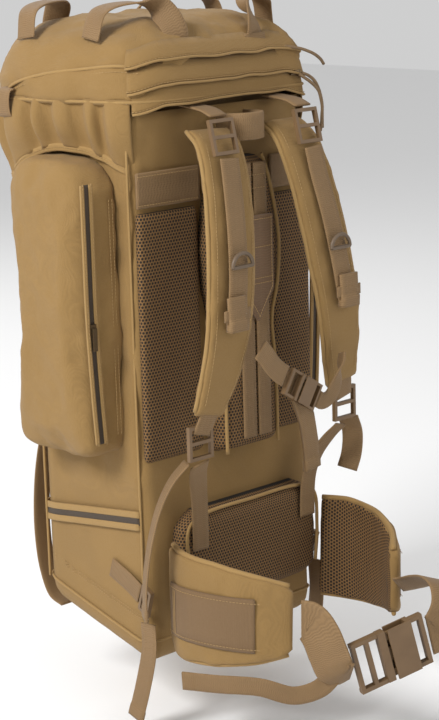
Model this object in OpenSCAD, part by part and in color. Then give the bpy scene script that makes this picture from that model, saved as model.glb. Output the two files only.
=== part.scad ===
// Large top-loading hunting backpack with a floating lid, side pockets,
// shoulder harness, lumbar pad and a clasped hip belt.
// The pack hangs on a wearer's back: Y = 0 is the back panel, the harness is on its -Y side.

/* [Main bag] */
// Width of the bag without its side pockets
bag_w = 268; // [240:2:280]
// Depth of the bag from back panel to front panel
bag_d = 190; // [186:1:192]
// Height of the bag's mouth above its lowest point
bag_h = 640; // [636:1:641]
// Thickness of the bag's fabric walls
wall = 3; // [2:0.5:4]
// Thickness of the padded back panel
back_t = 6; // [4:0.5:6]

/* [Side pockets] */
// How far a side pocket stands out of the bag's side
pocket_t = 56; // [40:1:60]
// Length of a side pocket from back to front
pocket_l = 135; // [120:1:136]
// Height of a side pocket
pocket_h = 338; // [300:2:338]

/* [Lid] */
// Height of the lid's dome above its rear seam
lid_h = 88; // [84:1:92]
// Depth of the elastic skirt below the lid's rear seam
skirt_h = 56; // [40:1:56]

/* [Harness] */
// Sideways place of the harness centre line
harness_x = 12; // [8:1:14]
// Thickness of the shoulder pads
strap_t = 16; // [12:1:16]
// Thickness of the hip wings
wing_t = 16; // [12:1:16]
// Thickness of webbing
web_t = 2.5; // [2:0.1:2.5]
// Width of the hip belt's webbing
belt_w = 50; // [44:1:50]

/* [Hidden] */

fabric = "#a9885a";
shade = "#94744a";
webbing = "#8a6a4a";
mesh = "#6b4a2a";
plastic = "#7d604a";
metal = "#b9bcc0";

hw = bag_w / 2;
gap = 0.3;

// Rounded corners of the bag's base, seen from the side
base_r_back = 22;
base_r_front = 30;
base_front_c = [160, 68];
base_slope = 15.3;

// Lid: its hinge line along the rear seam, and the slope of its walls
lid_hinge = [0, -6, 650];
lid_inset = 28;
lid_slope = atan(lid_inset / lid_h);
lid_edge = 0.05;

// Buckle of the hip belt: centre and the way it points
clasp_at = [12, -240, 40];
clasp_turn = -20.3;
clasp_tilt = 14.3;

// Hand-chosen routes of the zip pulls' cords, 4 mm thick
pull_d = 4;
pull_upper_route = [
    [98, -1, 698], [105, -5, 697.5], [113, -9, 696], [121, -12, 694],
    [129, -14.5, 691], [137, -16, 687.5], [145, -16, 683], [151, -15.5, 678.5], [155, -15, 674]
];
pull_lower_route_a = [
    [115, -14, 665], [120, -17, 661], [126, -19.5, 656.5], [132, -21, 651.5], [137.5, -22.5, 645],
    [140.5, -23.5, 635], [142, -24, 625], [142, -23, 615], [142, -22, 605], [141, -21, 597]
];
pull_lower_route_b = [
    [121, -13.5, 666], [129, -15.5, 662.5], [136, -18, 656], [141, -19, 647.5],
    [145, -19, 637], [147, -19, 627], [148, -18, 617], [149, -17, 607], [150, -16, 600]
];

// Centre line of a shoulder pad: sideways from the harness centre, then Y and Z, and its width
strap_path = [
    [57, -24, 616, 58], [59, -44, 602, 62], [64, -61, 566, 66], [71, -73, 515, 68],
    [79, -81, 458, 68], [88, -84, 402, 64], [98, -77, 348, 56], [108, -67, 306, 44]
];
// Webbing that lies on the front of a shoulder pad
strap_web_path = [
    [66, -70, 589], [68, -76, 560], [74, -87, 512], [81, -95, 458], [89, -98, 408]
];

// Centre line of a hip wing: sideways from the harness centre, Y, lowest Z and highest Z
wing_path = [
    [122, -18, 24, 150], [137, -50, 22, 150], [133, -98, 26, 146],
    [112, -142, 34, 136], [84, -170, 44, 124]
];

function unit(v) = v / norm(v);
function arc(c, r, a0, a1, n = 8) =
    [for (i = [0:n]) let (a = a0 + (a1 - a0) * i / n) [c.x + r * cos(a), c.y + r * sin(a)]];
function reversed(v) = [for (i = [len(v) - 1:-1:0]) v[i]];
function along(p, i) = unit(p[min(i + 1, len(p) - 1)] - p[max(i - 1, 0)]);
function square_to(side, t) = unit(side - (side * t) * t);

// Ring of a flat strap: c centre, s width direction, n thickness direction
function strap_ring(c, s, n, w, t) = [
    c - s * w / 2 - n * t / 2, c + s * w / 2 - n * t / 2,
    c + s * w / 2 + n * t / 2, c - s * w / 2 + n * t / 2
];
// Ring of a pad with bevelled edges
function pad_ring(c, s, n, w, t, b) = [
    c - s * (w / 2 - b) - n * t / 2, c + s * (w / 2 - b) - n * t / 2,
    c + s * w / 2 - n * (t / 2 - b), c + s * w / 2 + n * (t / 2 - b),
    c + s * (w / 2 - b) + n * t / 2, c - s * (w / 2 - b) + n * t / 2,
    c - s * w / 2 + n * (t / 2 - b), c - s * w / 2 - n * (t / 2 - b)
];

// Closed solid through rings that run anticlockwise seen from the last ring. Opposite faces
// are split along the same diagonal, so a thin strap can twist without meeting itself
module loft(rings) {
    n = len(rings[0]);
    m = len(rings);
    sides = [for (i = [0:m - 2]) for (k = [0:n - 1])
        let (a = i * n + k, b = i * n + (k + 1) % n)
        each k < n / 2 ? [[a, a + n, b + n], [a, b + n, b]] : [[a, a + n, b], [b, a + n, b + n]]];
    caps = [[for (k = [0:n - 1]) k], [for (k = [n - 1:-1:0]) (m - 1) * n + k]];
    polyhedron([for (r = rings) each r], concat(sides, caps));
}

// Flat strap of width w along a path; sides is one width direction, or one per point
module strap(path, sides, w, t = web_t) {
    loft([for (i = [0:len(path) - 1])
        let (d = along(path, i), s = square_to(is_list(sides[0]) ? sides[i] : sides, d))
        strap_ring(path[i], s, cross(d, s), w, t)]);
}

// Round cord along a path
module cord(path, d = pull_d, n = 8) {
    loft([for (i = [0:len(path) - 1])
        let (t = along(path, i), s = square_to([0, 1, 0], t), u = cross(t, s))
        [for (k = [0:n - 1]) path[i] + d / 2 * (cos(360 * k / n) * s + sin(360 * k / n) * u)]]);
}

module block(lo, hi) {
    translate(lo)
        cube(hi - lo);
}

// Places children on both sides of the bag
module both_sides() {
    children();
    mirror([1, 0, 0])
        children();
}

// Turns a YZ outline into a slab from x0 to x1
module slab_x(x0, x1) {
    translate([x0, 0, 0])
        rotate([90, 0, 90])
            linear_extrude(x1 - x0)
                children();
}

// Turns an XZ outline into a slab from y0 to y1
module slab_y(y0, y1) {
    translate([0, y1, 0])
        rotate([90, 0, 0])
            linear_extrude(y1 - y0)
                children();
}

// Base line of the bag from its back wall to its front wall, i inside the outer face
function base_line(i) = concat(
    arc([base_r_back, base_r_back], base_r_back - i, 180, 270 + base_slope),
    arc(base_front_c, base_r_front - i, 270 + base_slope, 360)
);

// ---- Main bag ----

module back_panel() {
    color(fabric)
        block([-hw + wall, 0, base_r_back], [hw - wall, back_t, bag_h]);
}

module front_panel() {
    color(fabric)
        block([-hw + wall, bag_d - wall, base_front_c.y], [hw - wall, bag_d, bag_h]);
}

module side_panels() {
    color(fabric)
        both_sides()
            slab_x(hw - wall, hw)
                polygon(concat([[0, bag_h]], base_line(0), [[bag_d, bag_h]]));
}

module base_panel() {
    color(fabric)
        slab_x(-hw + wall, hw - wall)
            polygon(concat(base_line(0), reversed(base_line(wall))));
}

collar_top = 668;
collar_z = 604;
collar_x = hw - 12;
collar_y = [22, 176];
collar_t = 2;

// Thin tube round the mouth, sewn to the panels by a flange at its foot
module snow_collar() {
    color(shade)
        difference() {
            union() {
                block([-collar_x, collar_y[0], collar_z], [collar_x, collar_y[1], collar_top]);
                block([-hw + wall, back_t, collar_z],
                    [hw - wall, bag_d - wall, collar_z + collar_t]);
            }
            block([-collar_x + collar_t, collar_y[0] + collar_t, collar_z - 1],
                [collar_x - collar_t, collar_y[1] - collar_t, collar_top + 1]);
        }
}

module collar_drawcord() {
    x = collar_x + 2;
    y0 = collar_y[0] - 2.2;
    y1 = collar_y[1] + 2.2;
    z = 660;
    color(webbing) {
        for (y = [y0, y1])
            translate([-x, y, z])
                rotate([0, 90, 0])
                    cylinder(r = 1.75, h = 2 * x, $fn = 24);
        for (sx = [-x, x])
            translate([sx, y0, z])
                rotate([-90, 0, 0])
                    cylinder(r = 1.75, h = y1 - y0, $fn = 24);
    }
}

lock_at = [0, 188, 660];

module cord_lock_barrel() {
    color(plastic)
        translate(lock_at)
            rotate([0, 90, 0])
                difference() {
                    translate([0, 0, -10])
                        cylinder(r = 6.5, h = 18, $fn = 32);
                    translate([0, 0, -4])
                        cylinder(r = 4.6, h = 20, $fn = 32);
                }
}

module cord_lock_button() {
    color(plastic)
        translate(lock_at)
            rotate([0, 90, 0])
                cylinder(r = 4.3, h = 13, $fn = 32);
}

module frame_sheet() {
    color("white")
        block([-110, back_t + 3, 34], [110, back_t + 4.5, 600]);
}

module stays() {
    color(metal)
        both_sides()
            block([60, back_t, 40], [80, back_t + 3, 592]);
}

// ---- Back and harness base ----

module mesh_pads() {
    color(mesh) {
        block([-hw + 1, -8, 246], [harness_x - 57, 0, 531]);
        block([harness_x + 58, -8, 246], [hw - 1, 0, 531]);
    }
}

module spine_pad() {
    color(mesh)
        translate([harness_x, 0, 0])
            slab_y(-30, 0)
                polygon([
                    [-30, 582], [-46, 530], [-53, 480], [-50, 430], [-40, 392], [-46, 330],
                    [-46, 240], [46, 240], [46, 330], [40, 392], [52, 430], [55, 480],
                    [48, 530], [30, 582]
                ]);
}

module back_webbing() {
    color(webbing) {
        block([-hw + 1, -5, 534], [harness_x - 60, 0, 574]);
        block([harness_x + 62, -5, 534], [hw - 1, 0, 574]);
        block([harness_x - 19, -33, 252], [harness_x + 27, -30, 576]);
    }
}

module torso_tab() {
    color(fabric)
        translate([harness_x + 4, 0, 0])
            slab_y(-40, -33)
                polygon([[-25, 514], [-25, 410], [-6, 390], [6, 390], [25, 410], [25, 514]]);
}

module lumbar_pad() {
    color(mesh)
        slab_y(-26, 0)
            polygon(concat(
                arc([-74, 154], 24, 90, 180), arc([-74, 82], 24, 180, 270),
                arc([102, 82], 24, 270, 360), arc([102, 154], 24, 0, 90)
            ));
}

module wing_pad(side) {
    p = [for (q = wing_path) [harness_x + side * q.x, q.y, (q.z + q[3]) / 2]];
    color(fabric)
        loft([for (i = [0:len(p) - 1])
            let (d = along([for (q = p) [q.x, q.y, 0]], i), s = [0, 0, 1], n = cross(d, s))
            pad_ring(p[i], s, n, wing_path[i][3] - wing_path[i].z, wing_t, 5)]);
}

module wing_pad_left() {
    wing_pad(-1);
}

module wing_pad_right() {
    wing_pad(1);
}

// ---- Pockets and zips ----

pocket_y0 = 30;
pocket_z0 = 252;
pocket_r = 46;

module pocket() {
    color(fabric)
        slab_x(hw, hw + pocket_t)
            polygon(concat(
                [[pocket_y0, pocket_z0], [pocket_y0 + pocket_l, pocket_z0]],
                arc([pocket_y0 + pocket_l - pocket_r, pocket_z0 + pocket_h - pocket_r],
                    pocket_r, 0, 90),
                arc([pocket_y0 + pocket_r, pocket_z0 + pocket_h - pocket_r], pocket_r, 90, 180)
            ));
}

module pocket_left() {
    mirror([1, 0, 0])
        pocket();
}

module pocket_right() {
    pocket();
}

module slider_body() {
    block([-4, -5, -6], [4, -gap, 6]);
    block([-2.5, -8, -24], [2.5, -5.5, 2]);
    block([-2, -6, -2], [2, -4.5, 2]);
}

module pocket_slider_left() {
    color(plastic)
        translate([-hw - 44, pocket_y0, 405])
            slider_body();
}

module pocket_slider_right() {
    color(plastic)
        translate([hw + 44, pocket_y0, 405])
            slider_body();
}

front_pocket_t = 22;

module front_pocket() {
    color(fabric)
        slab_y(bag_d, bag_d + front_pocket_t)
            polygon(concat(
                [[-104, 178], [104, 178]], arc([74, 490], 30, 0, 90), arc([-74, 490], 30, 90, 180)
            ));
}

front_strap_x = 62;

module front_webbing() {
    x = front_strap_x;
    y = bag_d + front_pocket_t;
    color(webbing)
        both_sides()
            strap([[x, y + 1.7, 184], [x, y + 1.7, 514], [x, y + 1.4, 522.6],
                [x, y - 6, 525.6], [x, y - 10.6, 529]], [1, 0, 0], 25);
}

// Frame of a side-release buckle at the lid's front, its x axis along the strap
buckle_front_at = [front_strap_x, bag_d + 22, 560];
front_lean = 22;

module front_buckle_place() {
    both_sides()
        translate(buckle_front_at)
            rotate([-front_lean, 0, 0])
                children();
}

module front_buckle_females() {
    color(plastic)
        front_buckle_place() {
            block([-16, -5, -20], [16, -3.4, 0]);
            block([-16, 3.4, -20], [16, 5, 0]);
            block([-16, -5, -24], [16, 5, -20]);
            for (sx = [-16, 13])
                block([sx, -3, -38], [sx + 3, 3, -24]);
            block([-13, -3, -38], [13, 0, -34]);
        }
}

module front_buckle_males() {
    color(plastic)
        front_buckle_place() {
            block([-5, -1.2, -16], [5, 1.2, 2]);
            for (sx = [-12, 8])
                block([sx, -1.6, -15], [sx + 4, 1.6, 2]);
            block([-16, -4, 1], [16, 4, 6]);
            for (sx = [-16, 13])
                block([sx, -3, 6], [sx + 3, 3, 24]);
            block([-13, -3, 20], [13, 0, 24]);
        }
}

module front_straps() {
    x = front_strap_x;
    y = 226;
    color(webbing)
        both_sides()
            strap([[x, y - 4.4, 578.4], [x, y - 0.4, 587], [x, y + 2, 594],
                [x, y + 1.7, 642]], [1, 0, 0], 25);
}

module base_zip() {
    color(shade) {
        both_sides()
            slab_x(hw, hw + 1.5)
                polygon([[0, 168], [0, 188], [bag_d, 165], [bag_d, 143]]);
        block([-hw, bag_d, 143], [hw, bag_d + 1.5, 165]);
    }
}

module base_slider() {
    color(plastic)
        translate([104, bag_d + 1.5, 154])
            rotate([0, 90, 180])
                slider_body();
}

lash_x = 119;

module base_lash_straps() {
    color(webbing)
        both_sides() {
            strap([
                [lash_x, 191.6, 246], [lash_x, 199, 225], [lash_x, 209, 180],
                [lash_x, 213, 120], [lash_x, 206, 72], [lash_x, 190, 42], [lash_x, 168, 35]
            ], [1, 0, 0], 25);
        }
}

// On each side a short strap from the bag to its lock, and the tail that hangs below
module stabiliser_straps() {
    color(webbing) {
        strap([[-136.5, 62, 110], [-138, 30, 99], [-141, 8, 90.8]], [0, -0.34, 0.94], 25);
        strap([[-147, -12, 61], [-149, -14, 30], [-153, -6, -14], [-156, 6, -56]],
            [0, 1, 0.3], 25);
        strap([[136.5, 64, 104], [138.4, 42, 96], [141.2, 23.6, 88.4]], [0, -0.34, 0.94], 25);
        strap([[146, 6, 61], [147, 5, 20], [150, 13, -20], [152, 20, -54]], [0, 1, 0.3], 25);
    }
}

// Ladder lock: a frame with three bars, standing on edge; w is the slot width
module ladder_lock(w, h, t) {
    difference() {
        block([-w / 2 - 4, -t / 2, -h / 2], [w / 2 + 4, t / 2, h / 2]);
        for (z = [-h / 2 + 4, 2])
            block([-w / 2, -t, z], [w / 2, t, z + h / 2 - 6]);
    }
}

module stabiliser_locks() {
    color(plastic) {
        translate([-hw - 9, -5, 86])
            rotate([0, 0, 80])
                rotate([0, 70, 0])
                    ladder_lock(26, 20, 5);
        translate([hw + 9, 12, 84])
            rotate([0, 0, 100])
                rotate([0, 70, 0])
                    ladder_lock(26, 18, 5);
    }
}

// ---- Lid ----

// Outline of the lid seen from above, i inside its widest line
function lid_plan(i) = [
    [-126 + i, -6 + i], [126 - i, -6 + i], [152 - i, 60], [166 - i, 130],
    [162 - i, 196 - i / 2], [132 - i, 226 - i], [-132 + i, 226 - i],
    [-162 + i, 196 - i / 2], [-166 + i, 130], [-152 + i, 60]
];

module lid_dome(i, z0, z1) {
    hull() {
        translate([0, 0, z0])
            linear_extrude(lid_edge)
                polygon(lid_plan(i));
        translate([0, 0, z1 - lid_edge])
            linear_extrude(lid_edge)
                polygon(lid_plan(i + lid_inset));
    }
}

module lid_shell() {
    z0 = lid_hinge.z;
    color(fabric)
        difference() {
            lid_dome(0, z0, z0 + lid_h);
            lid_dome(wall, z0 - 1, z0 + lid_h - wall);
        }
}

module lid_floor() {
    color(shade)
        translate([0, 0, 684])
            linear_extrude(1.5)
                polygon(lid_plan(16));
}

module lid_skirt() {
    z0 = lid_hinge.z - skirt_h;
    color(fabric)
        difference() {
            translate([0, 0, z0])
                linear_extrude(skirt_h)
                    polygon(lid_plan(0));
            translate([0, 0, z0 - 1])
                linear_extrude(skirt_h + 2)
                    polygon(lid_plan(wall));
            block([-200, -50, z0 - 1], [200, 24, z0 + skirt_h + 1]);
        }
}

// Local frame on the lid's sloping back wall: x across, -y outwards, z up the slope
module on_lid_back() {
    translate(lid_hinge)
        rotate([-lid_slope, 0, 0])
            children();
}

flap_gap = 0.1;

module lid_flaps() {
    color(fabric)
        on_lid_back() {
            block([-104, -4, 55], [104, -flap_gap, 70]);
            block([-112, -5, 26], [112, -flap_gap, 44]);
            block([-118, -3, 1], [118, -flap_gap, 12]);
        }
}

// Lash loop from the lid's end over its corner to its side, where it is sewn down at x = foot
module lid_loop(foot) {
    w = [[1, 0, 0], [1, -0.1, 0], [0.8, -0.6, 0], [0.4, -0.92, 0], [0, -1, 0], [-0.2, -0.98, 0]];
    strap([[60, 3.5, 702], [61, 8, 728], [70, 24, 752], [95, 42, 758], [foot - 10, 57, 749.5],
        [foot, 62, 719]], w, 34);
}

module lid_loops() {
    color(webbing)
        both_sides() {
            lid_loop(135);
            translate([0, 220, 0])
                mirror([0, 1, 0])
                    lid_loop(149);
        }
}

module lid_side_loops() {
    color(webbing)
        both_sides()
            strap([[166.5, 168, 664], [174, 170, 662], [177, 171, 650], [174, 171, 634],
                [167.6, 170, 632]], [0, 1, 0], 25);
}

module lid_slider_lower() {
    color(plastic)
        on_lid_back() {
            block([106, -8, 13], [116, -gap, 20]);
            block([112, -9.5, 14], [122, -7, 18]);
        }
}

module lid_pull_lower() {
    color(webbing) {
        cord(pull_lower_route_a);
        cord(pull_lower_route_b);
    }
}

module lid_slider_upper() {
    color(plastic)
        on_lid_back()
            block([88, -6, 44.4], [100, -gap, 50.5]);
}

module lid_pull_upper() {
    color(webbing)
        cord(pull_upper_route);
}

// ---- Shoulder harness ----

module strap_pad(side) {
    color(fabric) {
        p = [for (q = strap_path) [harness_x + side * q.x, q.y, q.z]];
        loft([for (i = [0:len(p) - 1])
            let (d = along(p, i), s = square_to([1, 0, 0], d), n = cross(d, s))
            pad_ring(p[i], s, n, strap_path[i][3], strap_t, 5)]);
    }
}

module strap_pad_left() {
    strap_pad(-1);
}

module strap_pad_right() {
    strap_pad(1);
}

function on_harness(side, path) = [for (q = path) [harness_x + side * q.x, q.y, q.z]];

module strap_web_left() {
    color(webbing) {
        strap(on_harness(-1, strap_web_path), [1, 0, 0], 28);
        strap([[-119, -56, 255], [-135, -48, 236], [-149, -40, 205], [-160, -34, 160],
            [-166, -31, 115], [-165, -28, 76]], [0.5, 0.8, 0], 25);
    }
}

module strap_web_right() {
    color(webbing) {
        strap(on_harness(1, strap_web_path), [1, 0, 0], 28);
        strap([[144, -56, 256], [158, -50, 232], [160, -46, 205], [154, -44, 186]],
            [0.5, 0.8, 0], 25);
    }
}

module strap_locks(side) {
    color(plastic) {
        translate([harness_x + side * 66, -61, 612])
            rotate([-14, 0, 0])
                ladder_lock(28, 40, 5);
        translate([harness_x + side * 117, -64, 277])
            ladder_lock(28, 40, 5);
    }
}

module strap_locks_left() {
    strap_locks(-1);
}

module strap_locks_right() {
    strap_locks(1);
}

module load_lifters() {
    color(webbing)
        for (side = [-1, 1])
            strap(on_harness(side, [[64, -2.5, 644], [65, -18, 643], [66, -40, 640],
                [66, -54.5, 634.5]]), [1, 0, 0], 26);
}

module lower_webs() {
    color(webbing)
        for (side = [-1, 1])
            strap(on_harness(side, [[115, -60, 250], [107, -48, 235], [96, -36, 212],
                [90, -30, 188], [88, -28, 160], [88, -27.6, 136]]), [1, 0, 0], 25);
}

module haul_loop() {
    x = harness_x;
    color(webbing)
        strap([[x - 20, -5, 616], [x - 21, -24, 616], [x - 12, -40, 616], [x, -45, 616],
            [x + 12, -40, 616], [x + 21, -24, 616], [x + 20, -5, 616]], [0, 0, 1], 32, 3);
}

ring_r = 15;
ring_wire = 2.2;

module d_ring(side) {
    color(plastic)
        translate([harness_x + side * 78, -99.5, 474]) {
            rotate([90, 0, 0])
                rotate_extrude(angle = 180, $fn = 48)
                    translate([ring_r, 0])
                        circle(r = ring_wire, $fn = 20);
            translate([-ring_r, 0, 0])
                rotate([0, 90, 0])
                    cylinder(r = ring_wire, h = 2 * ring_r, $fn = 20);
        }
}

module d_ring_left() {
    d_ring(-1);
}

module d_ring_right() {
    d_ring(1);
}

// ---- Sternum strap ----

sternum_y = -103;
sternum_at = [16, sternum_y, 322];
sternum_lean = 32;

module sternum_place() {
    translate(sternum_at)
        rotate([0, sternum_lean, 0])
            children();
}

module sternum_web_left() {
    color(webbing)
        strap([[-46, sternum_y, 378], [-38, sternum_y, 370], [-28, sternum_y, 357],
            [-16, sternum_y, 346], [-8, sternum_y, 341]], [0.6, 0, 0.8], 25);
}

module sternum_male() {
    color(plastic)
        sternum_place() {
            block([-3, -1.2, -4], [13, 1.2, 4]);
            for (z = [-12, 8])
                block([-3, -1.6, z], [12, 1.6, z + 4]);
            block([-7, -4, -16], [-3, 4, 16]);
            for (z = [-16, 13])
                block([-24, -3, z], [-7, 3, z + 3]);
            block([-24, -3, -13], [-20, 3, 13]);
        }
    color(webbing)
        strap([[2, sternum_y + 8, 338], [22, sternum_y + 9, 312], [38, sternum_y + 13, 280],
            [48, sternum_y + 17, 246], [53, sternum_y + 20, 216]], [1, 0, 0.3], 25);
}

module sternum_female() {
    color(plastic)
        sternum_place() {
            block([0, -5, -16], [17, -3.4, 16]);
            block([0, 3.4, -16], [17, 5, 16]);
            block([15, -5, -16], [19, 5, 16]);
            for (z = [-16, 13])
                block([19, -3, z], [30, 3, z + 3]);
            block([27, -3, -13], [30, 3, 13]);
        }
}

module sternum_web_right() {
    color(webbing)
        strap([[44, sternum_y, 304.5], [51, sternum_y, 300.5], [62, sternum_y, 302],
            [73, sternum_y, 313], [82, sternum_y + 1, 330], [90, sternum_y + 4, 350]],
            [0.3, 0, 1], 20);
}

// ---- Hip belt ----

module clasp_place() {
    translate(clasp_at)
        rotate([0, -clasp_tilt, clasp_turn])
            children();
}

module belt_web_left() {
    color(webbing) {
        strap([[-66, -178, 84], [-60.5, -187, 83], [-57, -198, 70], [-54.5, -208, 48],
            [-51, -215, 31], [-43.4, -219.5, 25], [-34, -223, 27.5]],
            [for (i = [0:6]) i < 4 ? [0, 0, 1] : [-0.23, 0.09, 0.97]], belt_w);
        strap([[-44, -202, 18], [-52, -190, 3], [-70, -168, -6], [-96, -140, 4],
            [-122, -98, 4], [-138, -58, 2]],
            [[0, 0, 1], [0.3, 0.3, 1], [0.5, 0.6, 0.6], [0.6, 0.6, 0.4], [0.9, 0, 0.3],
            [0.9, 0, 0.3]], 22);
    }
}

module hip_male() {
    color(plastic)
        clasp_place() {
            block([-4, -1.5, -8], [20, 1.5, 8]);
            for (z = [-27, 18])
                block([-4, -2.5, z], [21, 2.5, z + 9]);
            block([-12, -5, -31], [-3, 5, 31]);
            for (z = [-31, 26])
                block([-46, -4, z], [-12, 4, z + 5]);
            for (x = [-46, -29])
                block([x, -4, -26], [x + 5, 2, 26]);
        }
}

module hip_female() {
    color(plastic)
        clasp_place() {
            block([0, -7, -31], [26, -5, 31]);
            block([0, 5, -31], [26, 7, 31]);
            block([24, -7, -31], [30, 7, 31]);
            for (z = [-31, 26])
                block([30, -4, z], [46, 4, z + 5]);
            block([41, -4, -26], [46, 4, 26]);
        }
}

module belt_web_right() {
    color(webbing)
        strap([[58, -257, 52.6], [68, -261, 56], [74, -265, 66], [81, -267, 84], [90, -256, 98],
            [98, -236, 102], [104, -212, 96], [102, -192, 88], [94, -178.5, 84]],
            [0, 0, 1], belt_w);
}

back_panel();
front_panel();
side_panels();
base_panel();
snow_collar();
collar_drawcord();
cord_lock_barrel();
cord_lock_button();
frame_sheet();
stays();
mesh_pads();
spine_pad();
back_webbing();
torso_tab();
lumbar_pad();
pocket_left();
pocket_right();
pocket_slider_left();
pocket_slider_right();
front_pocket();
front_webbing();
front_buckle_females();
base_zip();
base_slider();
base_lash_straps();
stabiliser_locks();
stabiliser_straps();
load_lifters();
lower_webs();
haul_loop();
lid_shell();
lid_floor();
lid_skirt();
lid_flaps();
lid_loops();
lid_side_loops();
lid_slider_lower();
lid_pull_lower();
front_straps();
front_buckle_males();
lid_slider_upper();
lid_pull_upper();
strap_pad_left();
strap_web_left();
strap_locks_left();
d_ring_left();
strap_pad_right();
strap_web_right();
strap_locks_right();
d_ring_right();
sternum_web_left();
sternum_male();
sternum_female();
sternum_web_right();
wing_pad_left();
belt_web_left();
wing_pad_right();
belt_web_right();
hip_male();
hip_female();
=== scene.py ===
import math

import bmesh
import bpy
import numpy as np
from mathutils import Matrix, Vector, noise


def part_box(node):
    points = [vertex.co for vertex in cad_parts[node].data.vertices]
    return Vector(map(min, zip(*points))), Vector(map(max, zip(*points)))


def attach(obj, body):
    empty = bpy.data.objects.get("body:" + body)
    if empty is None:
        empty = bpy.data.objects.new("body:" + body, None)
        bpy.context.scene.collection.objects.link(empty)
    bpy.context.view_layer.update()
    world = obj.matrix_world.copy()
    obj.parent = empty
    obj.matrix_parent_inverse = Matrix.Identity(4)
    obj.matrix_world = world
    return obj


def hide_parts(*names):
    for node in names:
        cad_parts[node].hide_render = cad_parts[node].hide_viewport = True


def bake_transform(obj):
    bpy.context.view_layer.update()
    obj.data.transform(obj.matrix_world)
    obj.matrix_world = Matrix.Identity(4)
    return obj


# A tall hunting backpack in its worn shape. Sizes are in millimetres, and MM turns them into
# metres. Y = 0 is the back panel, the harness is on its -Y side and +Z is up.
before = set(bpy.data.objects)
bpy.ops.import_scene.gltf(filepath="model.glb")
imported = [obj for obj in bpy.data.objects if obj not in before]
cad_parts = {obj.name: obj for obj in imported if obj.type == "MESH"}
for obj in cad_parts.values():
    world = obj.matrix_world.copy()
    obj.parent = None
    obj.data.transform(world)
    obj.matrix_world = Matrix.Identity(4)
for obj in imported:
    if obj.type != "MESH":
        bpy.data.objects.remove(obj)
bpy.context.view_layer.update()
MM = 0.001


def box_mm(node):
    low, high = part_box(node)
    return np.array(low) / MM, np.array(high) / MM


BAG_HIGH = box_mm("side_panels")[1]
LUMBAR_LOW, LUMBAR_HIGH = box_mm("lumbar_pad")
BAG_W = BAG_HIGH[0]
BAG_D = BAG_HIGH[1]
BAG_TOP = BAG_HIGH[2]
HARNESS_X = 12.0
SIDE_NAMES = {-1: "left", 1: "right"}
EDGE_NAMES = {-1: "inner", 1: "outer"}


# ---- Camera, light and floor ----

CAMERA_TURNS = (-43, 13, -1.7)
CAMERA_TARGET = (0.011, 0.025, 0.337)
CAMERA_DISTANCE = 2.31
CAMERA_LENS = 98
FLOOR_HEIGHT = -0.075


def place_camera():
    azimuth, elevation, roll = (math.radians(a) for a in CAMERA_TURNS)
    back = Vector((math.sin(azimuth) * math.cos(elevation),
                   -math.cos(azimuth) * math.cos(elevation), math.sin(elevation)))
    right = (-back).cross(Vector((0, 0, 1))).normalized()
    up = back.cross(right)
    turned_right = right * math.cos(roll) + up * math.sin(roll)
    turned_up = up * math.cos(roll) - right * math.sin(roll)
    data = bpy.data.cameras.new("camera")
    data.lens = CAMERA_LENS
    data.sensor_width = 36
    data.clip_end = 20
    camera = bpy.data.objects.new("camera", data)
    bpy.context.collection.objects.link(camera)
    target = Vector(CAMERA_TARGET)
    camera.matrix_world = Matrix.Translation(target + back * CAMERA_DISTANCE) @ Matrix(
        (turned_right, turned_up, back)).transposed().to_4x4()
    bpy.context.scene.camera = camera


def area_light(name, place, aim, size, power):
    data = bpy.data.lights.new(name, "AREA")
    data.size = size
    data.energy = power
    lamp = bpy.data.objects.new(name, data)
    lamp.location = place
    direction = Vector(aim) - Vector(place)
    lamp.rotation_euler = direction.to_track_quat("-Z", "Y").to_euler()
    bpy.context.collection.objects.link(lamp)


def studio():
    bpy.context.scene.view_settings.view_transform = "Standard"
    world = bpy.data.worlds.new("studio")
    bpy.context.scene.world = world
    world.use_nodes = True
    world.node_tree.nodes["Background"].inputs["Color"].default_value = (1, 1, 1, 1)
    world.node_tree.nodes["Background"].inputs["Strength"].default_value = 0.62
    area_light("key", (-2.6, -0.1, 2.3), (0, 0, 0.35), 1.0, 95)
    area_light("fill", (1.6, -2.8, 1.6), (0, 0, 0.3), 1.6, 17)
    area_light("rim", (0.6, 2.6, 2.2), (0, 0, 0.4), 1.6, 26)
    bpy.ops.mesh.primitive_plane_add(size=14, location=(0, 0, FLOOR_HEIGHT))
    floor = bpy.context.object
    floor.name = "floor"
    floor.data.materials.append(plain_material("floor", (0.86, 0.86, 0.86), 0.9))


# ---- Materials ----

def node_group(name, inputs, outputs):
    group = bpy.data.node_groups.new(name, "ShaderNodeTree")
    for label, kind, value in inputs:
        socket = group.interface.new_socket(label, in_out="INPUT", socket_type=kind)
        socket.default_value = value
    for label, kind in outputs:
        group.interface.new_socket(label, in_out="OUTPUT", socket_type=kind)
    return group, group.nodes.new("NodeGroupInput"), group.nodes.new("NodeGroupOutput")


def add(tree, kind, links=None, **settings):
    """New node; links maps an input to a socket or to a plain value."""
    node = tree.nodes.new(kind)
    for key, value in settings.items():
        setattr(node, key, value)
    for key, value in (links or {}).items():
        if isinstance(value, bpy.types.NodeSocket):
            tree.links.new(value, node.inputs[key])
        else:
            node.inputs[key].default_value = value
    return node


def maths(tree, operation, a, b=0.0):
    return add(tree, "ShaderNodeMath", {0: a, 1: b}, operation=operation).outputs[0]


def blend_colour(tree, factor, a, b):
    node = add(tree, "ShaderNodeMix", {0: factor, 6: a, 7: b}, data_type="RGBA")
    return node.outputs[2]


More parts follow.
